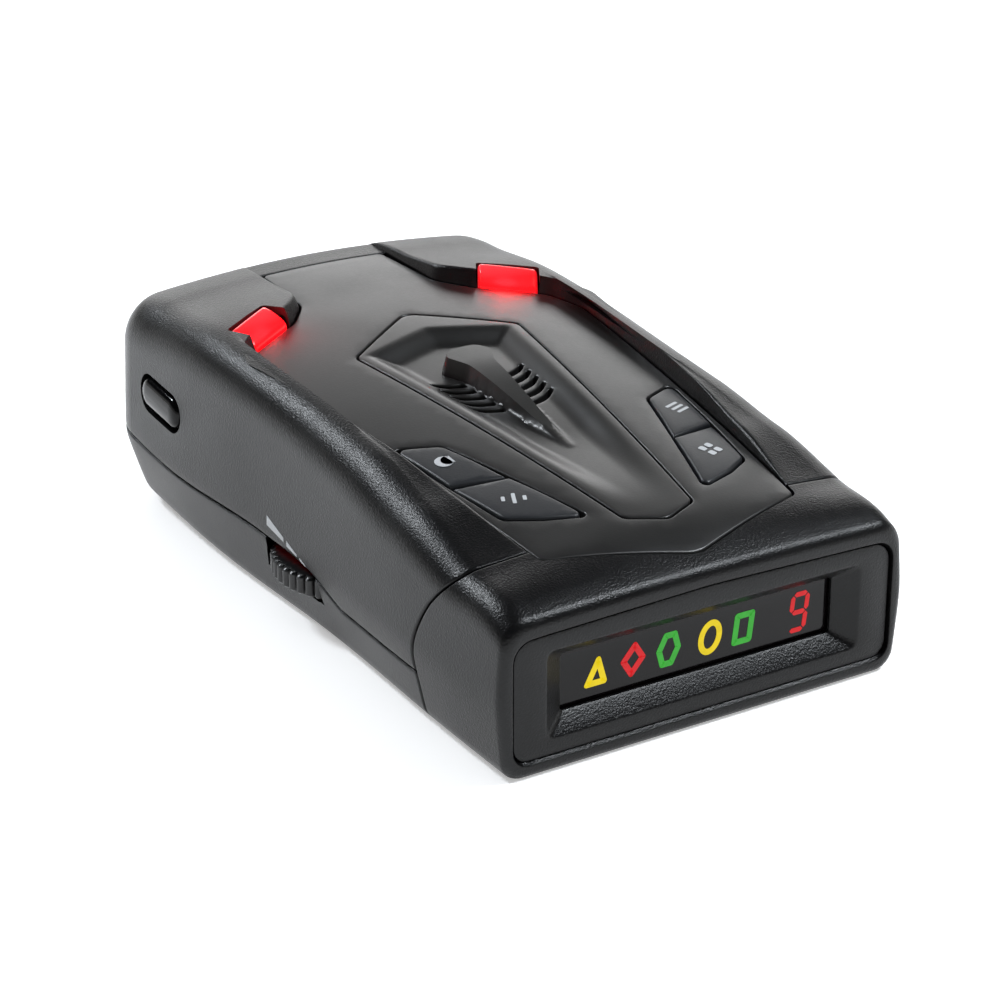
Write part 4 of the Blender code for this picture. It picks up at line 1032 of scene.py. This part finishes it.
def make_wheel(material):
    """Thumbwheel: a rim of rounded ribs, drawn in at its upper and lower edges."""
    low, high = node_box("volume_wheel")
    middle = complex(low[0] + high[0], low[1] + high[1]) / 2.0
    radius = (high[0] - low[0]) / 2.0
    turn = np.linspace(0.0, 2.0 * math.pi, WHEEL_RIBS * 10, endpoint=False)
    rib = np.sqrt(np.abs(np.sin(turn * WHEEL_RIBS / 2.0)))
    loops = []
    profile = ((5.0, 6.5), (0.9, 6.5), (0.35, 6.6), (0.0, 6.95), (0.0, 9.25), (0.35, 9.6), (0.9, 9.7),
               (10.4, 9.7))
    for inset, z in profile:
        groove = 0.75 * (1.0 - rib) * (inset < 0.5)
        loops.append(flat_loop(middle + (radius - inset - groove) * np.exp(1j * turn), z))
    loops.append(flat_loop(middle + 2.6 * np.exp(1j * turn), high[2]))
    tube("thumbwheel", loops, "volume_wheel", material, replaced=["volume_wheel"], slot="gloss_black")


WHEEL_RIBS = 48


def make_release(material):
    """Release button: the pill outline carried outwards through the wall and drawn in to a soft dome."""
    low, _ = node_box("release_button")
    loops = []
    flange = ((1.1, 4.2), (1.1, 3.2), (0.0, 3.1))
    dome = ((0.0, 1.1), (-0.15, 0.7), (-0.5, 0.38), (-1.0, 0.16), (-1.6, 0.04), (-2.1, 0.0))
    for grow, depth in flange + dome:
        outline = pill_outline(grow)
        loops.append(np.stack([np.full(outline.shape, low[0] + depth), outline.real, outline.imag], axis=-1))
    tube("release_pill", loops, "bracket_release", material, replaced=["release_button"], slot="gloss_black")


def make_jack(material):
    """Power socket: a ring profile turned about its bore, blind at its far end."""
    low, high = node_box("power_jack")
    middle = complex(low[1] + high[1], low[2] + high[2]) / 2.0
    turn = np.exp(1j * np.linspace(0.0, 2.0 * math.pi, 64, endpoint=False))
    face = high[0]
    loops = []
    for radius, back in ((3.4, 4.0), (3.4, 0.25), (3.15, 0.0), (2.15, 0.0), (1.8, 0.35), (1.8, 8.0)):
        spot = middle + radius * turn
        loops.append(np.stack([np.full(spot.shape, face - back), spot.real, spot.imag], axis=-1))
    tube("socket_ring", loops, "housing", material, slot="moulded_black")


def make_rear_window(material):
    """Dark window in the rear end, with a rounded edge."""
    _, high = node_box("rear_window")
    loops = []
    for grow, back in ((0.0, 1.0), (0.0, 0.3), (-0.08, 0.1), (-0.3, 0.0)):
        loops.append(section_points(rear_window_outline(grow), high[1] - back))
    tube("sensor_window", loops, "housing", material, replaced=["rear_window"], slot="smoked_window")


# ---------------------------------------------------------------- display


MOUTH_FACE = (25.7, 4.95, 17.5)
MOUTH_BACK = (22.5, 7.2, 15.7)
WINDOW_Y = -56.0


def mouth_loop(half, low, high, radius, grow=0.0):
    """Mouth of the face frame at one depth: a wide rectangle with round corners (x + i z)."""
    corners = [(half, low), (half, high), (0.0, high + 0.02), (-half, high), (-half, low)]
    return rounded(grown_corners(corners, grow), [radius, radius, 60.0, radius, radius], 6)


def make_bezel(material):
    """Face frame: back edge, rolled outer edge, flat face, rolled mouth, sloping mouth and short throat."""
    rows = [(bezel_outline(grow), back)
            for grow, back in ((0.0, 1.6), (0.0, 0.35), (-0.1, 0.1), (-0.35, 0.0))]
    rows += [(mouth_loop(*MOUTH_FACE, 1.5, 0.45), 0.0), (mouth_loop(*MOUTH_FACE, 1.35, 0.15), 0.06)]
    rows += [(mouth_loop(*MOUTH_FACE, 1.2, 0.0), 0.2)]
    share = 0.9
    near = [a + (b - a) * share for a, b in zip(MOUTH_FACE, MOUTH_BACK)]
    rows.append((mouth_loop(*near, 0.8), 1.85))
    rows += [(mouth_loop(*MOUTH_BACK, 0.6), back) for back in (2.15, 2.6)]
    rows += [(mouth_loop(*MOUTH_BACK, 0.8, 3.0), 2.6), (mouth_loop(*MOUTH_BACK, 0.8, 3.0), 1.6)]
    rows += [(bezel_outline(0.0), 1.6)]
    loops = [section_points(outline, BEZEL_Y + back) for outline, back in rows]
    tube("face_frame", loops, "housing", material, caps=(False, False), replaced=["display_bezel"],
         slot="case_black")


def make_window(material):
    """Smoked window behind the mouth."""
    low, high = node_box("display_window")
    corners = [(low[0], low[2]), (high[0], low[2]), (high[0], high[2]), (low[0], high[2])]
    loops = [section_points(rounded(corners, [0.5] * 4, 4), y) for y in (high[1], low[1])]
    tube("smoked_window", loops, "housing", material, replaced=["display_window"], slot="smoked_window")


def ring_mark(outline, stroke):
    """Outer and inner outline of a stroked mark."""
    return outline, grown(outline, -stroke)


def face_mark(name, outline, inner, material, y=WINDOW_Y, proud=0.05):
    """Lit mark on the window: a thin band between two outlines, or a filled plate (x + i z)."""
    loops = [section_points(outline, y - 0.005), section_points(outline, y - proud)]
    if inner is None:
        return tube(name, loops, "housing", material)
    loops += [section_points(inner, y - proud), section_points(inner, y - 0.005), loops[0]]
    return tube(name, loops, "housing", material, caps=(False, False))


def make_symbols(materials):
    """Five lit band marks, each a plain shape, and one seven-segment digit."""
    z = 11.3
    tall = 2.7
    slant = 0.12
    triangle = rounded([(-2.0, -2.3), (2.0, -2.3), (0.0, 2.6)], [0.4] * 3, 4)
    diamond = rounded([(0.0, -2.8), (2.1, 0.0), (0.0, 2.8), (-2.1, 0.0)], [0.4] * 4, 4)
    hexagon = 2.55 * np.exp(1j * (np.linspace(0.0, 2.0 * math.pi, 6, endpoint=False)))
    hexagon = rounded([(p.real * 0.8, p.imag * 1.15) for p in hexagon], [0.4] * 6, 3)
    ring = 2.3 * np.exp(1j * np.linspace(0.0, 2.0 * math.pi, 40, endpoint=False))
    ring = ring.real * 0.85 + 1j * ring.imag * 1.12
    square = rounded([(-1.7, -2.4), (1.7, -2.4), (1.7, 2.4), (-1.7, 2.4)], [0.5] * 4, 4)
    marks = ((-16.1, "triangle", triangle, "amber"), (-10.3, "diamond", diamond, "scarlet"),
             (-4.5, "hexagon", hexagon, "green"), (2.4, "oval", ring, "amber"),
             (8.0, "tile", square, "green"))
    for x, word, outline, tint in marks:
        outline = outline + slant * outline.imag
        outer, inner = ring_mark(outline, 0.9)
        face_mark("band_" + word, outer + x + 1j * z, inner + x + 1j * z, materials[tint])
    wide, half = 1.25, tall / 2.0
    bars = {"top": (0.0, tall, 1), "middle": (0.0, 0.0, 1), "bottom": (0.0, -tall, 1),
            "upper_left": (-wide, half, 0), "upper_right": (wide, half, 0), "lower_right": (wide, -half, 0)}
    for word, (x, rise, level) in bars.items():
        long, thin = (wide - 0.12, 0.36) if level else (half - 0.12, 0.36)
        shape = [(-long, 0.0), (-long + thin, thin), (long - thin, thin)]
        shape += [(-x, -z) for x, z in shape]
        points = np.array([complex(*c) for c in shape])
        points = points if level else points * 1j
        points = points + x + 1j * rise
        points = points + slant * points.imag
        face_mark("digit_" + word, points + 17.5 + 1j * z, None, materials["scarlet"])


# ---------------------------------------------------------------- printed marks


PRINT_LIFT = 0.28


def print_on_top(name, outline, body, material):
    """Printed mark on a key: a flat outline laid just over the key's crowned top."""
    tops = [flat_loop(outline, crown(outline.real, outline.imag) + PRINT_LIFT - drop) for drop in (0.03, 0.0)]
    return tube(name, tops, body, material)


def bar_outline(middle, half_long, half_wide, turn):
    """Round-cornered bar about a middle point."""
    near = [(-half_long, -half_wide), (half_long, -half_wide)]
    corners = near + [(-x, -y) for x, y in near]
    return middle + rounded(corners, [half_wide * 0.5] * 4, 3) * np.exp(1j * turn)


def make_key_marks(material):
    """Plain pictograms in place of words: a half moon, a dot between bars, three bars and four dots."""
    turn = math.radians(-24.0)
    moon = 1.35 * np.exp(1j * np.linspace(0.6, 2.0 * math.pi - 0.6, 30))
    bite = 0.75 + 1.15 * np.exp(1j * np.linspace(2.0 * math.pi - 1.05, 1.05, 20))
    print_on_top("moon_mark", np.concatenate([moon, bite]) + complex(-19.6, -22.4), "left_rear_key", material)
    spot = complex(-16.4, -35.6)
    for k, (shift, long) in enumerate(((-1.5, 0.55), (0.0, 1.25), (1.5, 0.55))):
        place = spot + shift * np.exp(1j * turn)
        print_on_top("quiet_bar_%d" % k, bar_outline(place, long, 0.27, turn + math.pi / 2.0),
                     "left_front_key", material)
    spot = complex(19.9, -22.6)
    for k in range(3):
        place = spot + (k - 1) * 1.0j * np.exp(-1j * turn)
        print_on_top("list_bar_%d" % k, bar_outline(place, 1.4, 0.24, -turn), "right_rear_key", material)
    spot = complex(16.7, -35.4)
    for k in range(4):
        place = spot + ((k % 2) * 1.6 - 0.8 + 1j * ((k // 2) * 1.6 - 0.8)) * np.exp(-1j * turn)
        print_on_top("block_dot_%d" % k, bar_outline(place, 0.55, 0.55, -turn), "right_front_key", material)


def make_volume_marks(material):
    """Level marks over the wheel: three tapering bars printed along the left wall."""
    start, end = np.array([5.0, 14.3]), np.array([-6.2, 11.2])
    for k, (a, b, thick) in enumerate(((0.0, 0.44, 1.5), (0.52, 0.78, 0.9), (0.86, 1.0, 0.45))):
        u = np.linspace(a, b, 9)[None, :]
        v = np.linspace(-0.5, 0.5, 4)[:, None]
        y = start[0] + (end[0] - start[0]) * u + 0.0 * v
        z = start[1] + (end[1] - start[1]) * u + v * thick * (1.0 - 0.55 * (u - a) / (b - a))
        skin = wall_x(y, z)
        rows = [np.stack([-(skin + lift), y, z], axis=-1) for lift in (0.035, -0.02)]
        count = 9 * 4
        faces = grid_faces(4, 9).tolist() + grid_faces(4, 9, start=count).tolist()
        edge = [*range(9), 17, 26, *range(35, 26, -1), 18, 9]
        faces += [[p, q, q + count, p + count] for p, q in zip(edge, edge[1:] + edge[:1])]
        new_piece("level_mark_%d" % k, np.concatenate([stack(r) for r in rows]), faces, "housing", material)


# ---------------------------------------------------------------- materials


def linear(red, green, blue):
    """Display colour, 0 to 1, as the linear colour that shaders take."""
    shares = (c / 12.92 if c < 0.04045 else ((c + 0.055) / 1.055) ** 2.4 for c in (red, green, blue))
    return (*shares, 1.0)


class Finish:
    """One material's node tree: a Principled shader and the patterns that feed it, on Object coordinates."""

    def __init__(self, name, **sockets):
        self.material = bpy.data.materials.new(name)
        self.material.use_nodes = True
        self.tree = self.material.node_tree
        self.tree.nodes.clear()
        self.place = self.node("ShaderNodeTexCoord").outputs["Object"]
        self.shader = self.node("ShaderNodeBsdfPrincipled", **sockets)
        self.node("ShaderNodeOutputMaterial", Surface=self.shader.outputs[0])

    def node(self, kind, **settings):
        """New node: a socket's name takes a value or a link, any other name is one of the node's settings."""
        made = self.tree.nodes.new(kind)
        for key, value in settings.items():
            socket = made.inputs.get(key.replace("_", " "))
            if socket is None:
                setattr(made, key, value)
            elif isinstance(value, bpy.types.NodeSocket):
                self.tree.links.new(value, socket)
            else:
                socket.default_value = value
        return made

    def feed(self, name, value):
        """Link a pattern to one of the shader's sockets."""
        self.tree.links.new(value, self.shader.inputs[name])

    def at(self, scale=(1.0, 1.0, 1.0), shift=(0.0, 0.0, 0.0), turn=(0.0, 0.0, 0.0)):
        """Object coordinates stretched, moved and turned."""
        made = self.node("ShaderNodeMapping", Vector=self.place, Scale=scale, Location=shift, Rotation=turn)
        return made.outputs[0]

    def noise(self, scale, detail=2.0, rough=0.5, where=None):
        """Cloudy value, 0 to 1."""
        where = where or self.at()
        return self.node("ShaderNodeTexNoise", Vector=where, Scale=scale, Detail=detail,
                         Roughness=rough).outputs[0]

    def cells(self, scale, where=None, feature="SMOOTH_F1"):
        """Distance to the nearest of a scatter of points."""
        made = self.node("ShaderNodeTexVoronoi", feature=feature, Vector=where or self.at(), Scale=scale)
        return made.outputs["Distance"]

    def waves(self, scale, where=None, direction="X", distortion=0.0):
        """Straight bands."""
        return self.node("ShaderNodeTexWave", bands_direction=direction, Vector=where or self.at(),
                         Scale=scale,
                         Distortion=distortion).outputs["Fac"]

    def ranged(self, value, low, high, start=0.0, end=1.0):
        """Value taken from start..end to low..high."""
        made = self.node("ShaderNodeMapRange", From_Min=start, From_Max=end, To_Min=low, To_Max=high)
        self.tree.links.new(value, made.inputs["Value"])
        return made.outputs[0]

    def blend(self, factor, first, second):
        """Colour between two colours."""
        made = self.node("ShaderNodeMix", data_type="RGBA")
        self.tree.links.new(factor, made.inputs["Factor"])
        for socket, colour in ((made.inputs[6], first), (made.inputs[7], second)):
            if isinstance(colour, bpy.types.NodeSocket):
                self.tree.links.new(colour, socket)
            else:
                socket.default_value = colour
        return made.outputs[2]

    def sum(self, first, second, share=1.0):
        """First value plus a share of the second."""
        made = self.node("ShaderNodeMath", operation="MULTIPLY_ADD")
        self.tree.links.new(second, made.inputs[0])
        made.inputs[1].default_value = share
        self.tree.links.new(first, made.inputs[2])
        return made.outputs[0]

    def bump(self, height, distance, strength=1.0):
        """Relief of a height pattern, its depth in millimetres."""
        made = self.node("ShaderNodeBump", Distance=distance * MM, Strength=strength, Height=height)
        self.feed("Normal", made.outputs["Normal"])

    def edges(self, start=0.52, end=0.6):
        """How exposed an edge is, 0 to 1."""
        return self.ranged(self.node("ShaderNodeNewGeometry").outputs["Pointiness"], 0.0, 1.0, start, end)


def moulding(name, tone, rough, grain, depth, pitted=0.0, worn=0.35, **sockets):
    """Moulded plastic: two close tones, uneven gloss, fine grain with pits, edges rubbed a bit lighter."""
    finish = Finish(name, **sockets)
    dark, light = (linear(*(c * k for c in tone)) for k in (0.93, 1.07))
    body = finish.blend(finish.noise(90.0, 4.0), dark, light)
    if worn:
        rubbed = linear(*(min(1.0, c * 1.35 + 0.02) for c in tone))
        wear = finish.ranged(finish.sum(finish.edges(), finish.noise(400.0, 3.0), 0.5), 0.0, worn, 0.6, 1.4)
        body = finish.blend(wear, body, rubbed)
    finish.feed("Base Color", body)
    patchy = finish.sum(finish.noise(60.0, 3.0), finish.noise(grain * 0.5, 2.0), 0.4)
    finish.feed("Roughness", finish.ranged(patchy, rough - 0.06, rough + 0.08, 0.3, 1.1))
    relief = finish.noise(grain, 3.0, 0.6)
    if pitted:
        relief = finish.sum(relief, finish.cells(grain * 0.8), pitted)
    finish.bump(relief, depth)
    return finish.material


def case_black():
    """Spark-eroded black plastic."""
    return moulding("spark eroded black", (0.034, 0.034, 0.038), 0.31, 4300.0, 0.045, pitted=0.8,
                    Specular_IOR_Level=0.3)


def trim_charcoal():
    """Smoother, warmer trim plate."""
    return moulding("satin charcoal trim", (0.082, 0.08, 0.078), 0.36, 3000.0, 0.012, worn=0.0)


def insert_charcoal():
    """Speaker insert: the trim's plastic, a touch glossier."""
    return moulding("satin charcoal insert", (0.088, 0.086, 0.083), 0.34, 3000.0, 0.01, worn=0.0)


def key_rubber():
    """Soft-touch key caps."""
    return moulding("soft touch key", (0.1, 0.107, 0.12), 0.42, 3000.0, 0.018, worn=0.0)


def polished_black(name="polished black"):
    """Polished black plastic with handling marks."""
    return moulding(name, (0.024, 0.024, 0.027), 0.1, 900.0, 0.003, worn=0.1, Specular_IOR_Level=0.2)


def wheel_black():
    """Ribbed wheel: satin black."""
    return moulding("ribbed wheel black", (0.05, 0.05, 0.053), 0.32, 2600.0, 0.012, worn=0.2)


def smoked_glass():
    """Smoked window: nearly black with a warm cast, smudged gloss."""
    finish = Finish("smoked window", Specular_IOR_Level=0.28)
    finish.feed("Base Color",
                finish.blend(finish.noise(70.0, 3.0), linear(0.02, 0.014, 0.018), linear(0.035, 0.022, 0.026)))
    smudge = finish.noise(160.0, 5.0, 0.6, finish.at((1.0, 0.3, 1.0), turn=(0.0, 0.5, 0.0)))
    finish.feed("Roughness", finish.ranged(smudge, 0.06, 0.2, 0.35, 0.75))
    finish.bump(finish.noise(140.0, 2.0), 0.004)
    return finish.material


def lamp_red():
    """Lit red lens: an even deep red glow with a painted highlight, the glow paler along its raised rear edge,
    under a clear glossy skin.
    """
    finish = Finish("lit red lens", Roughness=0.2, Coat_Weight=0.25, Coat_Roughness=0.08,
                    Emission_Strength=1.0)
    height = finish.node("ShaderNodeSeparateXYZ", Vector=finish.at()).outputs["Z"]
    # painted highlight: the glow turns paler towards the top of the lens, standing in for the gloss highlight
    # along its raised rear edge
    painted_highlight = finish.ranged(height, 0.0, 1.0, 35.2 * MM, 37.4 * MM)
    mottle = finish.noise(300.0, 3.0)
    glow = finish.blend(finish.sum(painted_highlight, mottle, 0.12), linear(0.9, 0.06, 0.1), linear(1.0, 0.3, 0.34))
    finish.feed("Emission Color", glow)
    finish.feed("Base Color", finish.blend(mottle, linear(0.5, 0.02, 0.03), linear(0.6, 0.03, 0.04)))
    finish.bump(finish.noise(500.0), 0.01)
    return finish.material


def lit_mark(name, tone, strength=0.95):
    """Lit window mark with a soft unevenness from its light guide."""
    finish = Finish(name, Roughness=0.5, Specular_IOR_Level=0.2, Emission_Strength=strength)
    dark, light = linear(*(c * 0.85 for c in tone)), linear(*tone)
    mottle = finish.noise(900.0, 3.0)
    finish.feed("Base Color",
                finish.blend(mottle, linear(*(c * 0.25 for c in tone)), linear(*(c * 0.35 for c in tone))))
    finish.feed("Emission Color", finish.blend(mottle, dark, light))
    finish.bump(finish.noise(2500.0), 0.004)
    return finish.material


def printed_grey():
    """Pad-printed ink, thinner in specks."""
    return moulding("printed grey ink", (0.66, 0.67, 0.68), 0.55, 2800.0, 0.01, worn=0.1)


def board_green():
    """Circuit board: glossy solder mask over raised tracks, with tinned pads."""
    finish = Finish("green circuit board", Coat_Weight=0.15)
    tracks = finish.node("ShaderNodeTexBrick", Vector=finish.at((1.0, 1.0, 1.0), (0.0, 0.0003, 0.0)),
                         Scale=160.0,
                         Mortar_Size=0.04, Brick_Width=0.9, Row_Height=0.22).outputs["Fac"]
    pads = finish.ranged(finish.cells(420.0, feature="F1"), 1.0, 0.0, 0.14, 0.18)
    mask = finish.blend(tracks, linear(0.07, 0.3, 0.17), linear(0.14, 0.46, 0.27))
    finish.feed("Base Color", finish.blend(pads, mask, linear(0.8, 0.8, 0.78)))
    finish.feed("Metallic", pads)
    finish.feed("Roughness", finish.ranged(finish.noise(500.0, 3.0), 0.22, 0.42))
    finish.bump(finish.sum(tracks, finish.noise(1500.0), 0.2), 0.03)
    return finish.material


def ribbon_grey():
    """Flat ribbon cable: conductors as ridges side by side, its first one marked red."""
    finish = Finish("ribbon insulation")
    ridges = finish.waves(157.0)
    cross = finish.node("ShaderNodeSeparateXYZ", Vector=finish.at()).outputs["X"]
    first = finish.ranged(cross, 1.0, 0.0, -6.3 * MM, -6.1 * MM)
    grey = finish.blend(finish.noise(300.0, 3.0), linear(0.7, 0.7, 0.71), linear(0.77, 0.77, 0.78))
    finish.feed("Base Color", finish.blend(first, grey, linear(0.62, 0.08, 0.08)))
    finish.feed("Roughness", finish.ranged(ridges, 0.4, 0.55))
    finish.bump(ridges, 0.35)
    return finish.material


def foam_black():
    """Felted foam ring: open cells and lint."""
    finish = Finish("felted foam", Sheen_Weight=0.3, Sheen_Roughness=0.5)
    cells = finish.cells(1400.0)
    finish.feed("Base Color", finish.blend(cells, linear(0.06, 0.06, 0.06), linear(0.2, 0.2, 0.2)))
    finish.feed("Roughness", finish.ranged(finish.noise(700.0), 0.85, 1.0))
    finish.bump(finish.sum(cells, finish.noise(2600.0, 4.0), 0.6), 0.25)
    return finish.material


def plated_steel():
    """Zinc-plated steel: fine lines from drawing, bright with dull patches."""
    finish = Finish("zinc plated steel", Metallic=1.0)
    lines = finish.noise(700.0, 4.0, 0.6, finish.at((1.0, 1.0, 0.06)))
    finish.feed("Base Color", finish.blend(lines, linear(0.68, 0.68, 0.66), linear(0.86, 0.86, 0.85)))
    finish.feed("Roughness",
                finish.ranged(finish.sum(lines, finish.noise(140.0, 3.0), 0.6), 0.22, 0.46, 0.4, 1.2))
    finish.bump(lines, 0.01)
    return finish.material


def zinc_casting():
    """Die-cast zinc: grainy skin, flow marks and duller hollows."""
    finish = Finish("bare zinc casting", Metallic=0.9)
    flow = finish.noise(80.0, 5.0, 0.6, finish.at((1.0, 0.4, 1.0)))
    finish.feed("Base Color", finish.blend(flow, linear(0.58, 0.58, 0.56), linear(0.78, 0.78, 0.76)))
    finish.feed("Roughness", finish.ranged(finish.noise(900.0, 3.0), 0.38, 0.6))
    finish.bump(finish.sum(finish.noise(1900.0, 3.0), flow, 0.8), 0.04)
    return finish.material


def cone_paper():
    """Pressed paper cone: matted fibres."""
    finish = Finish("pressed paper", Roughness=0.85)
    fibres = finish.noise(900.0, 6.0, 0.7, finish.at((1.0, 0.35, 1.0)))
    finish.feed("Base Color", finish.blend(fibres, linear(0.17, 0.17, 0.17), linear(0.32, 0.32, 0.31)))
    finish.feed("Roughness", finish.ranged(fibres, 0.78, 0.95))
    finish.bump(fibres, 0.08)
    return finish.material


def capacitor_sleeve():
    """Shrink sleeve of a capacitor: glossy blue with a pale stripe down one side."""
    finish = Finish("capacitor sleeve", Coat_Weight=0.2)
    cross = finish.node("ShaderNodeSeparateXYZ", Vector=finish.at()).outputs["X"]
    stripe = finish.ranged(cross, 0.0, 1.0, 24.2 * MM, 24.3 * MM)
    blue = finish.blend(finish.noise(200.0, 3.0), linear(0.15, 0.21, 0.4), linear(0.21, 0.28, 0.47))
    finish.feed("Base Color", finish.blend(stripe, blue, linear(0.75, 0.76, 0.8)))
    finish.feed("Roughness", finish.ranged(finish.noise(600.0, 2.0), 0.22, 0.36))
    finish.bump(finish.noise(240.0, 2.0, 0.5, finish.at((1.0, 1.0, 4.0))), 0.05)
    return finish.material


def clear_lens():
    """Clear moulded lens, faintly rippled."""
    finish = Finish("clear lens", Transmission_Weight=0.92, IOR=1.49)
    finish.feed("Base Color",
                finish.blend(finish.noise(150.0), linear(0.9, 0.9, 0.93), linear(0.96, 0.96, 0.98)))
    finish.feed("Roughness", finish.ranged(finish.noise(300.0, 3.0), 0.02, 0.1))
    finish.bump(finish.noise(180.0), 0.01)
    return finish.material


def dress_frame(black, lens_glass):
    """Procedural finish for every CAD node that stays visible, by its material slot."""
    made = {"board_green": board_green(), "ribbon_grey": ribbon_grey(), "foam_black": foam_black(),
            "plated_steel": plated_steel(), "zinc_casting": zinc_casting(), "cone_paper": cone_paper(),
            "capacitor_sleeve": capacitor_sleeve(), "clear_lens": clear_lens(), "smoked_window": lens_glass,
            "case_black": black, "panel_charcoal": black, "gloss_black": black, "button_rubber": black,
            "moulded_black": moulding("moulded black", (0.14, 0.14, 0.145), 0.5, 1700.0, 0.03),
            "white_plastic": moulding("natural white moulding", (0.87, 0.87, 0.85), 0.42, 1500.0, 0.02,
                                      worn=0.0),
            "led_red": lit_mark("red diffused lamp", (0.95, 0.22, 0.22), 1.0),
            "lamp_red": lit_mark("red lens core", (0.9, 0.05, 0.08), 1.0)}
    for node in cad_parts.values():
        slots = node.data.materials
        for k, old in enumerate(slots):
            slots[k] = made[old.name.split(".")[0]]


# ---------------------------------------------------------------- studio


FOCUS = (0.0, -7.2, 15.0)
CAMERA_TURN = math.radians(-31.95)
CAMERA_RISE = math.radians(23.39)
CAMERA_REACH = 417.1


def around(turn, rise):
    """Direction from the object to a point at this turn round it and this height."""
    return Vector((math.sin(turn) * math.cos(rise), -math.cos(turn) * math.cos(rise), math.sin(rise)))


def add_camera():
    """Camera at its turn and height, looking at the focus."""
    lens = bpy.data.cameras.new("camera")
    lens.lens = 100.8
    lens.sensor_width = 36.0
    lens.shift_x = -0.0056
    lens.shift_y = -0.0046
    lens.clip_start = 0.02
    camera = bpy.data.objects.new("camera", lens)
    back = around(CAMERA_TURN, CAMERA_RISE)
    camera.location = (Vector(FOCUS) + back * CAMERA_REACH) * MM
    camera.rotation_euler = back.to_track_quat("Z", "Y").to_euler()
    bpy.context.scene.collection.objects.link(camera)
    bpy.context.scene.camera = camera


def add_lamp(name, turn, rise, reach, size, power, tint=(1.0, 1.0, 1.0), glossy=True):
    """Soft rectangular studio light, facing the focus. Angles in degrees, lengths in millimetres."""
    light = bpy.data.lights.new(name, "AREA")
    light.shape = "RECTANGLE"
    light.size, light.size_y = size[0] * MM, size[1] * MM
    light.energy = power
    light.color = tint
    lamp = bpy.data.objects.new(name, light)
    lamp.visible_glossy = glossy
    back = around(math.radians(turn), math.radians(rise))
    lamp.location = (Vector(FOCUS) + back * reach) * MM
    lamp.rotation_euler = back.to_track_quat("Z", "Y").to_euler()
    bpy.context.scene.collection.objects.link(lamp)


def add_glow(side):
    """Faint red light just over a lens, for the glow it throws on the panel and shoulder round it."""
    light = bpy.data.lights.new("lens glow", "POINT")
    light.energy = 0.03
    light.color = (1.0, 0.03, 0.04)
    light.shadow_soft_size = 2.5 * MM
    lamp = bpy.data.objects.new("lens glow", light)
    lamp.visible_glossy = False
    spot = (complex(*LENS_INNER) + complex(*LENS_OUTER)) / 2.0
    lamp.location = Vector((side * spot.real * MM, spot.imag * MM, (crown(spot.real, spot.imag) + 3.0) * MM))
    bpy.context.scene.collection.objects.link(lamp)


def add_floor():
    """Pale floor: a flat square grid, its lines spreading with the cube of their distance from the middle."""
    across = np.linspace(-1.0, 1.0, 61) ** 3 * 4000.0
    x, y = np.meshgrid(across, across)
    z = -0.05 + 0.0 * x
    finish = Finish("pale light table", Emission_Strength=0.42, Emission_Color=(1.0, 1.0, 1.0, 1.0))
    finish.feed("Base Color",
                finish.blend(finish.noise(8.0, 3.0), linear(0.955, 0.955, 0.957), linear(0.97, 0.97, 0.97)))
    finish.feed("Roughness", finish.ranged(finish.noise(60.0), 0.7, 0.85))
    finish.bump(finish.noise(500.0, 3.0), 0.02)
    floor = new_piece("floor", stack(np.stack([x, y, z], axis=-1)), grid_faces(61, 61), None, finish.material)


def add_sky():
    """Surrounding light: a white horizon that darkens to a dim ceiling, by the height of a direction."""
    world = bpy.data.worlds.new("studio")
    bpy.context.scene.world = world
    world.use_nodes = True
    tree = world.node_tree
    place = tree.nodes.new("ShaderNodeTexCoord")
    split = tree.nodes.new("ShaderNodeSeparateXYZ")
    ramp = tree.nodes.new("ShaderNodeValToRGB")
    tree.links.new(place.outputs["Generated"], split.inputs[0])
    tree.links.new(split.outputs["Z"], ramp.inputs["Fac"])
    tree.links.new(ramp.outputs["Color"], tree.nodes["Background"].inputs["Color"])
    ramp.color_ramp.interpolation = "EASE"
    ramp.color_ramp.elements[0].position = SKY_BRIGHT
    ramp.color_ramp.elements[0].color = (1.0, 1.0, 0.98, 1.0)
    ramp.color_ramp.elements[1].position = SKY_DARK
    ramp.color_ramp.elements[1].color = (0.02, 0.021, 0.024, 1.0)


SKY_BRIGHT = 0.03
SKY_DARK = 0.3


def add_studio():
    """Floor, surrounding light and lamps."""
    bpy.context.scene.view_settings.view_transform = "Standard"
    add_sky()
    add_floor()
    add_lamp("overhead", 0.0, 88.0, 2500.0, (3600.0, 3600.0), 32.0, glossy=False)
    add_lamp("rear softbox", 151.0, 20.0, 1500.0, (1500.0, 420.0), 7.0)
    add_lamp("ridge light", 61.0, 54.0, 1500.0, (200.0, 200.0), 16.0, (0.9, 0.95, 1.0))
    add_lamp("shoulder light", -152.0, 44.0, 1500.0, (240.0, 240.0), 13.0, (0.9, 0.95, 1.0))
    for side in (-1.0, 1.0):
        add_glow(side)


# ---------------------------------------------------------------- all together


PLAIN = bpy.data.materials.new("cutting tool")
black = case_black()
polish = polished_black()
glass = smoked_glass()
ink = printed_grey()
tints = {"amber": lit_mark("lit amber", (0.97, 0.86, 0.12)),
         "scarlet": lit_mark("lit scarlet", (0.88, 0.15, 0.17)),
         "green": lit_mark("lit green", (0.25, 0.7, 0.24))}
dress_frame(black, glass)
make_shells(black)
make_panel(trim_charcoal())
make_insert(insert_charcoal())
make_keys(key_rubber())
make_lamps(lamp_red())
make_wheel(wheel_black())
make_release(polish)
make_jack(black)
make_rear_window(glass)
make_bezel(black)
make_window(glass)
make_symbols(tints)
make_key_marks(ink)
make_volume_marks(ink)
add_studio()
add_camera()
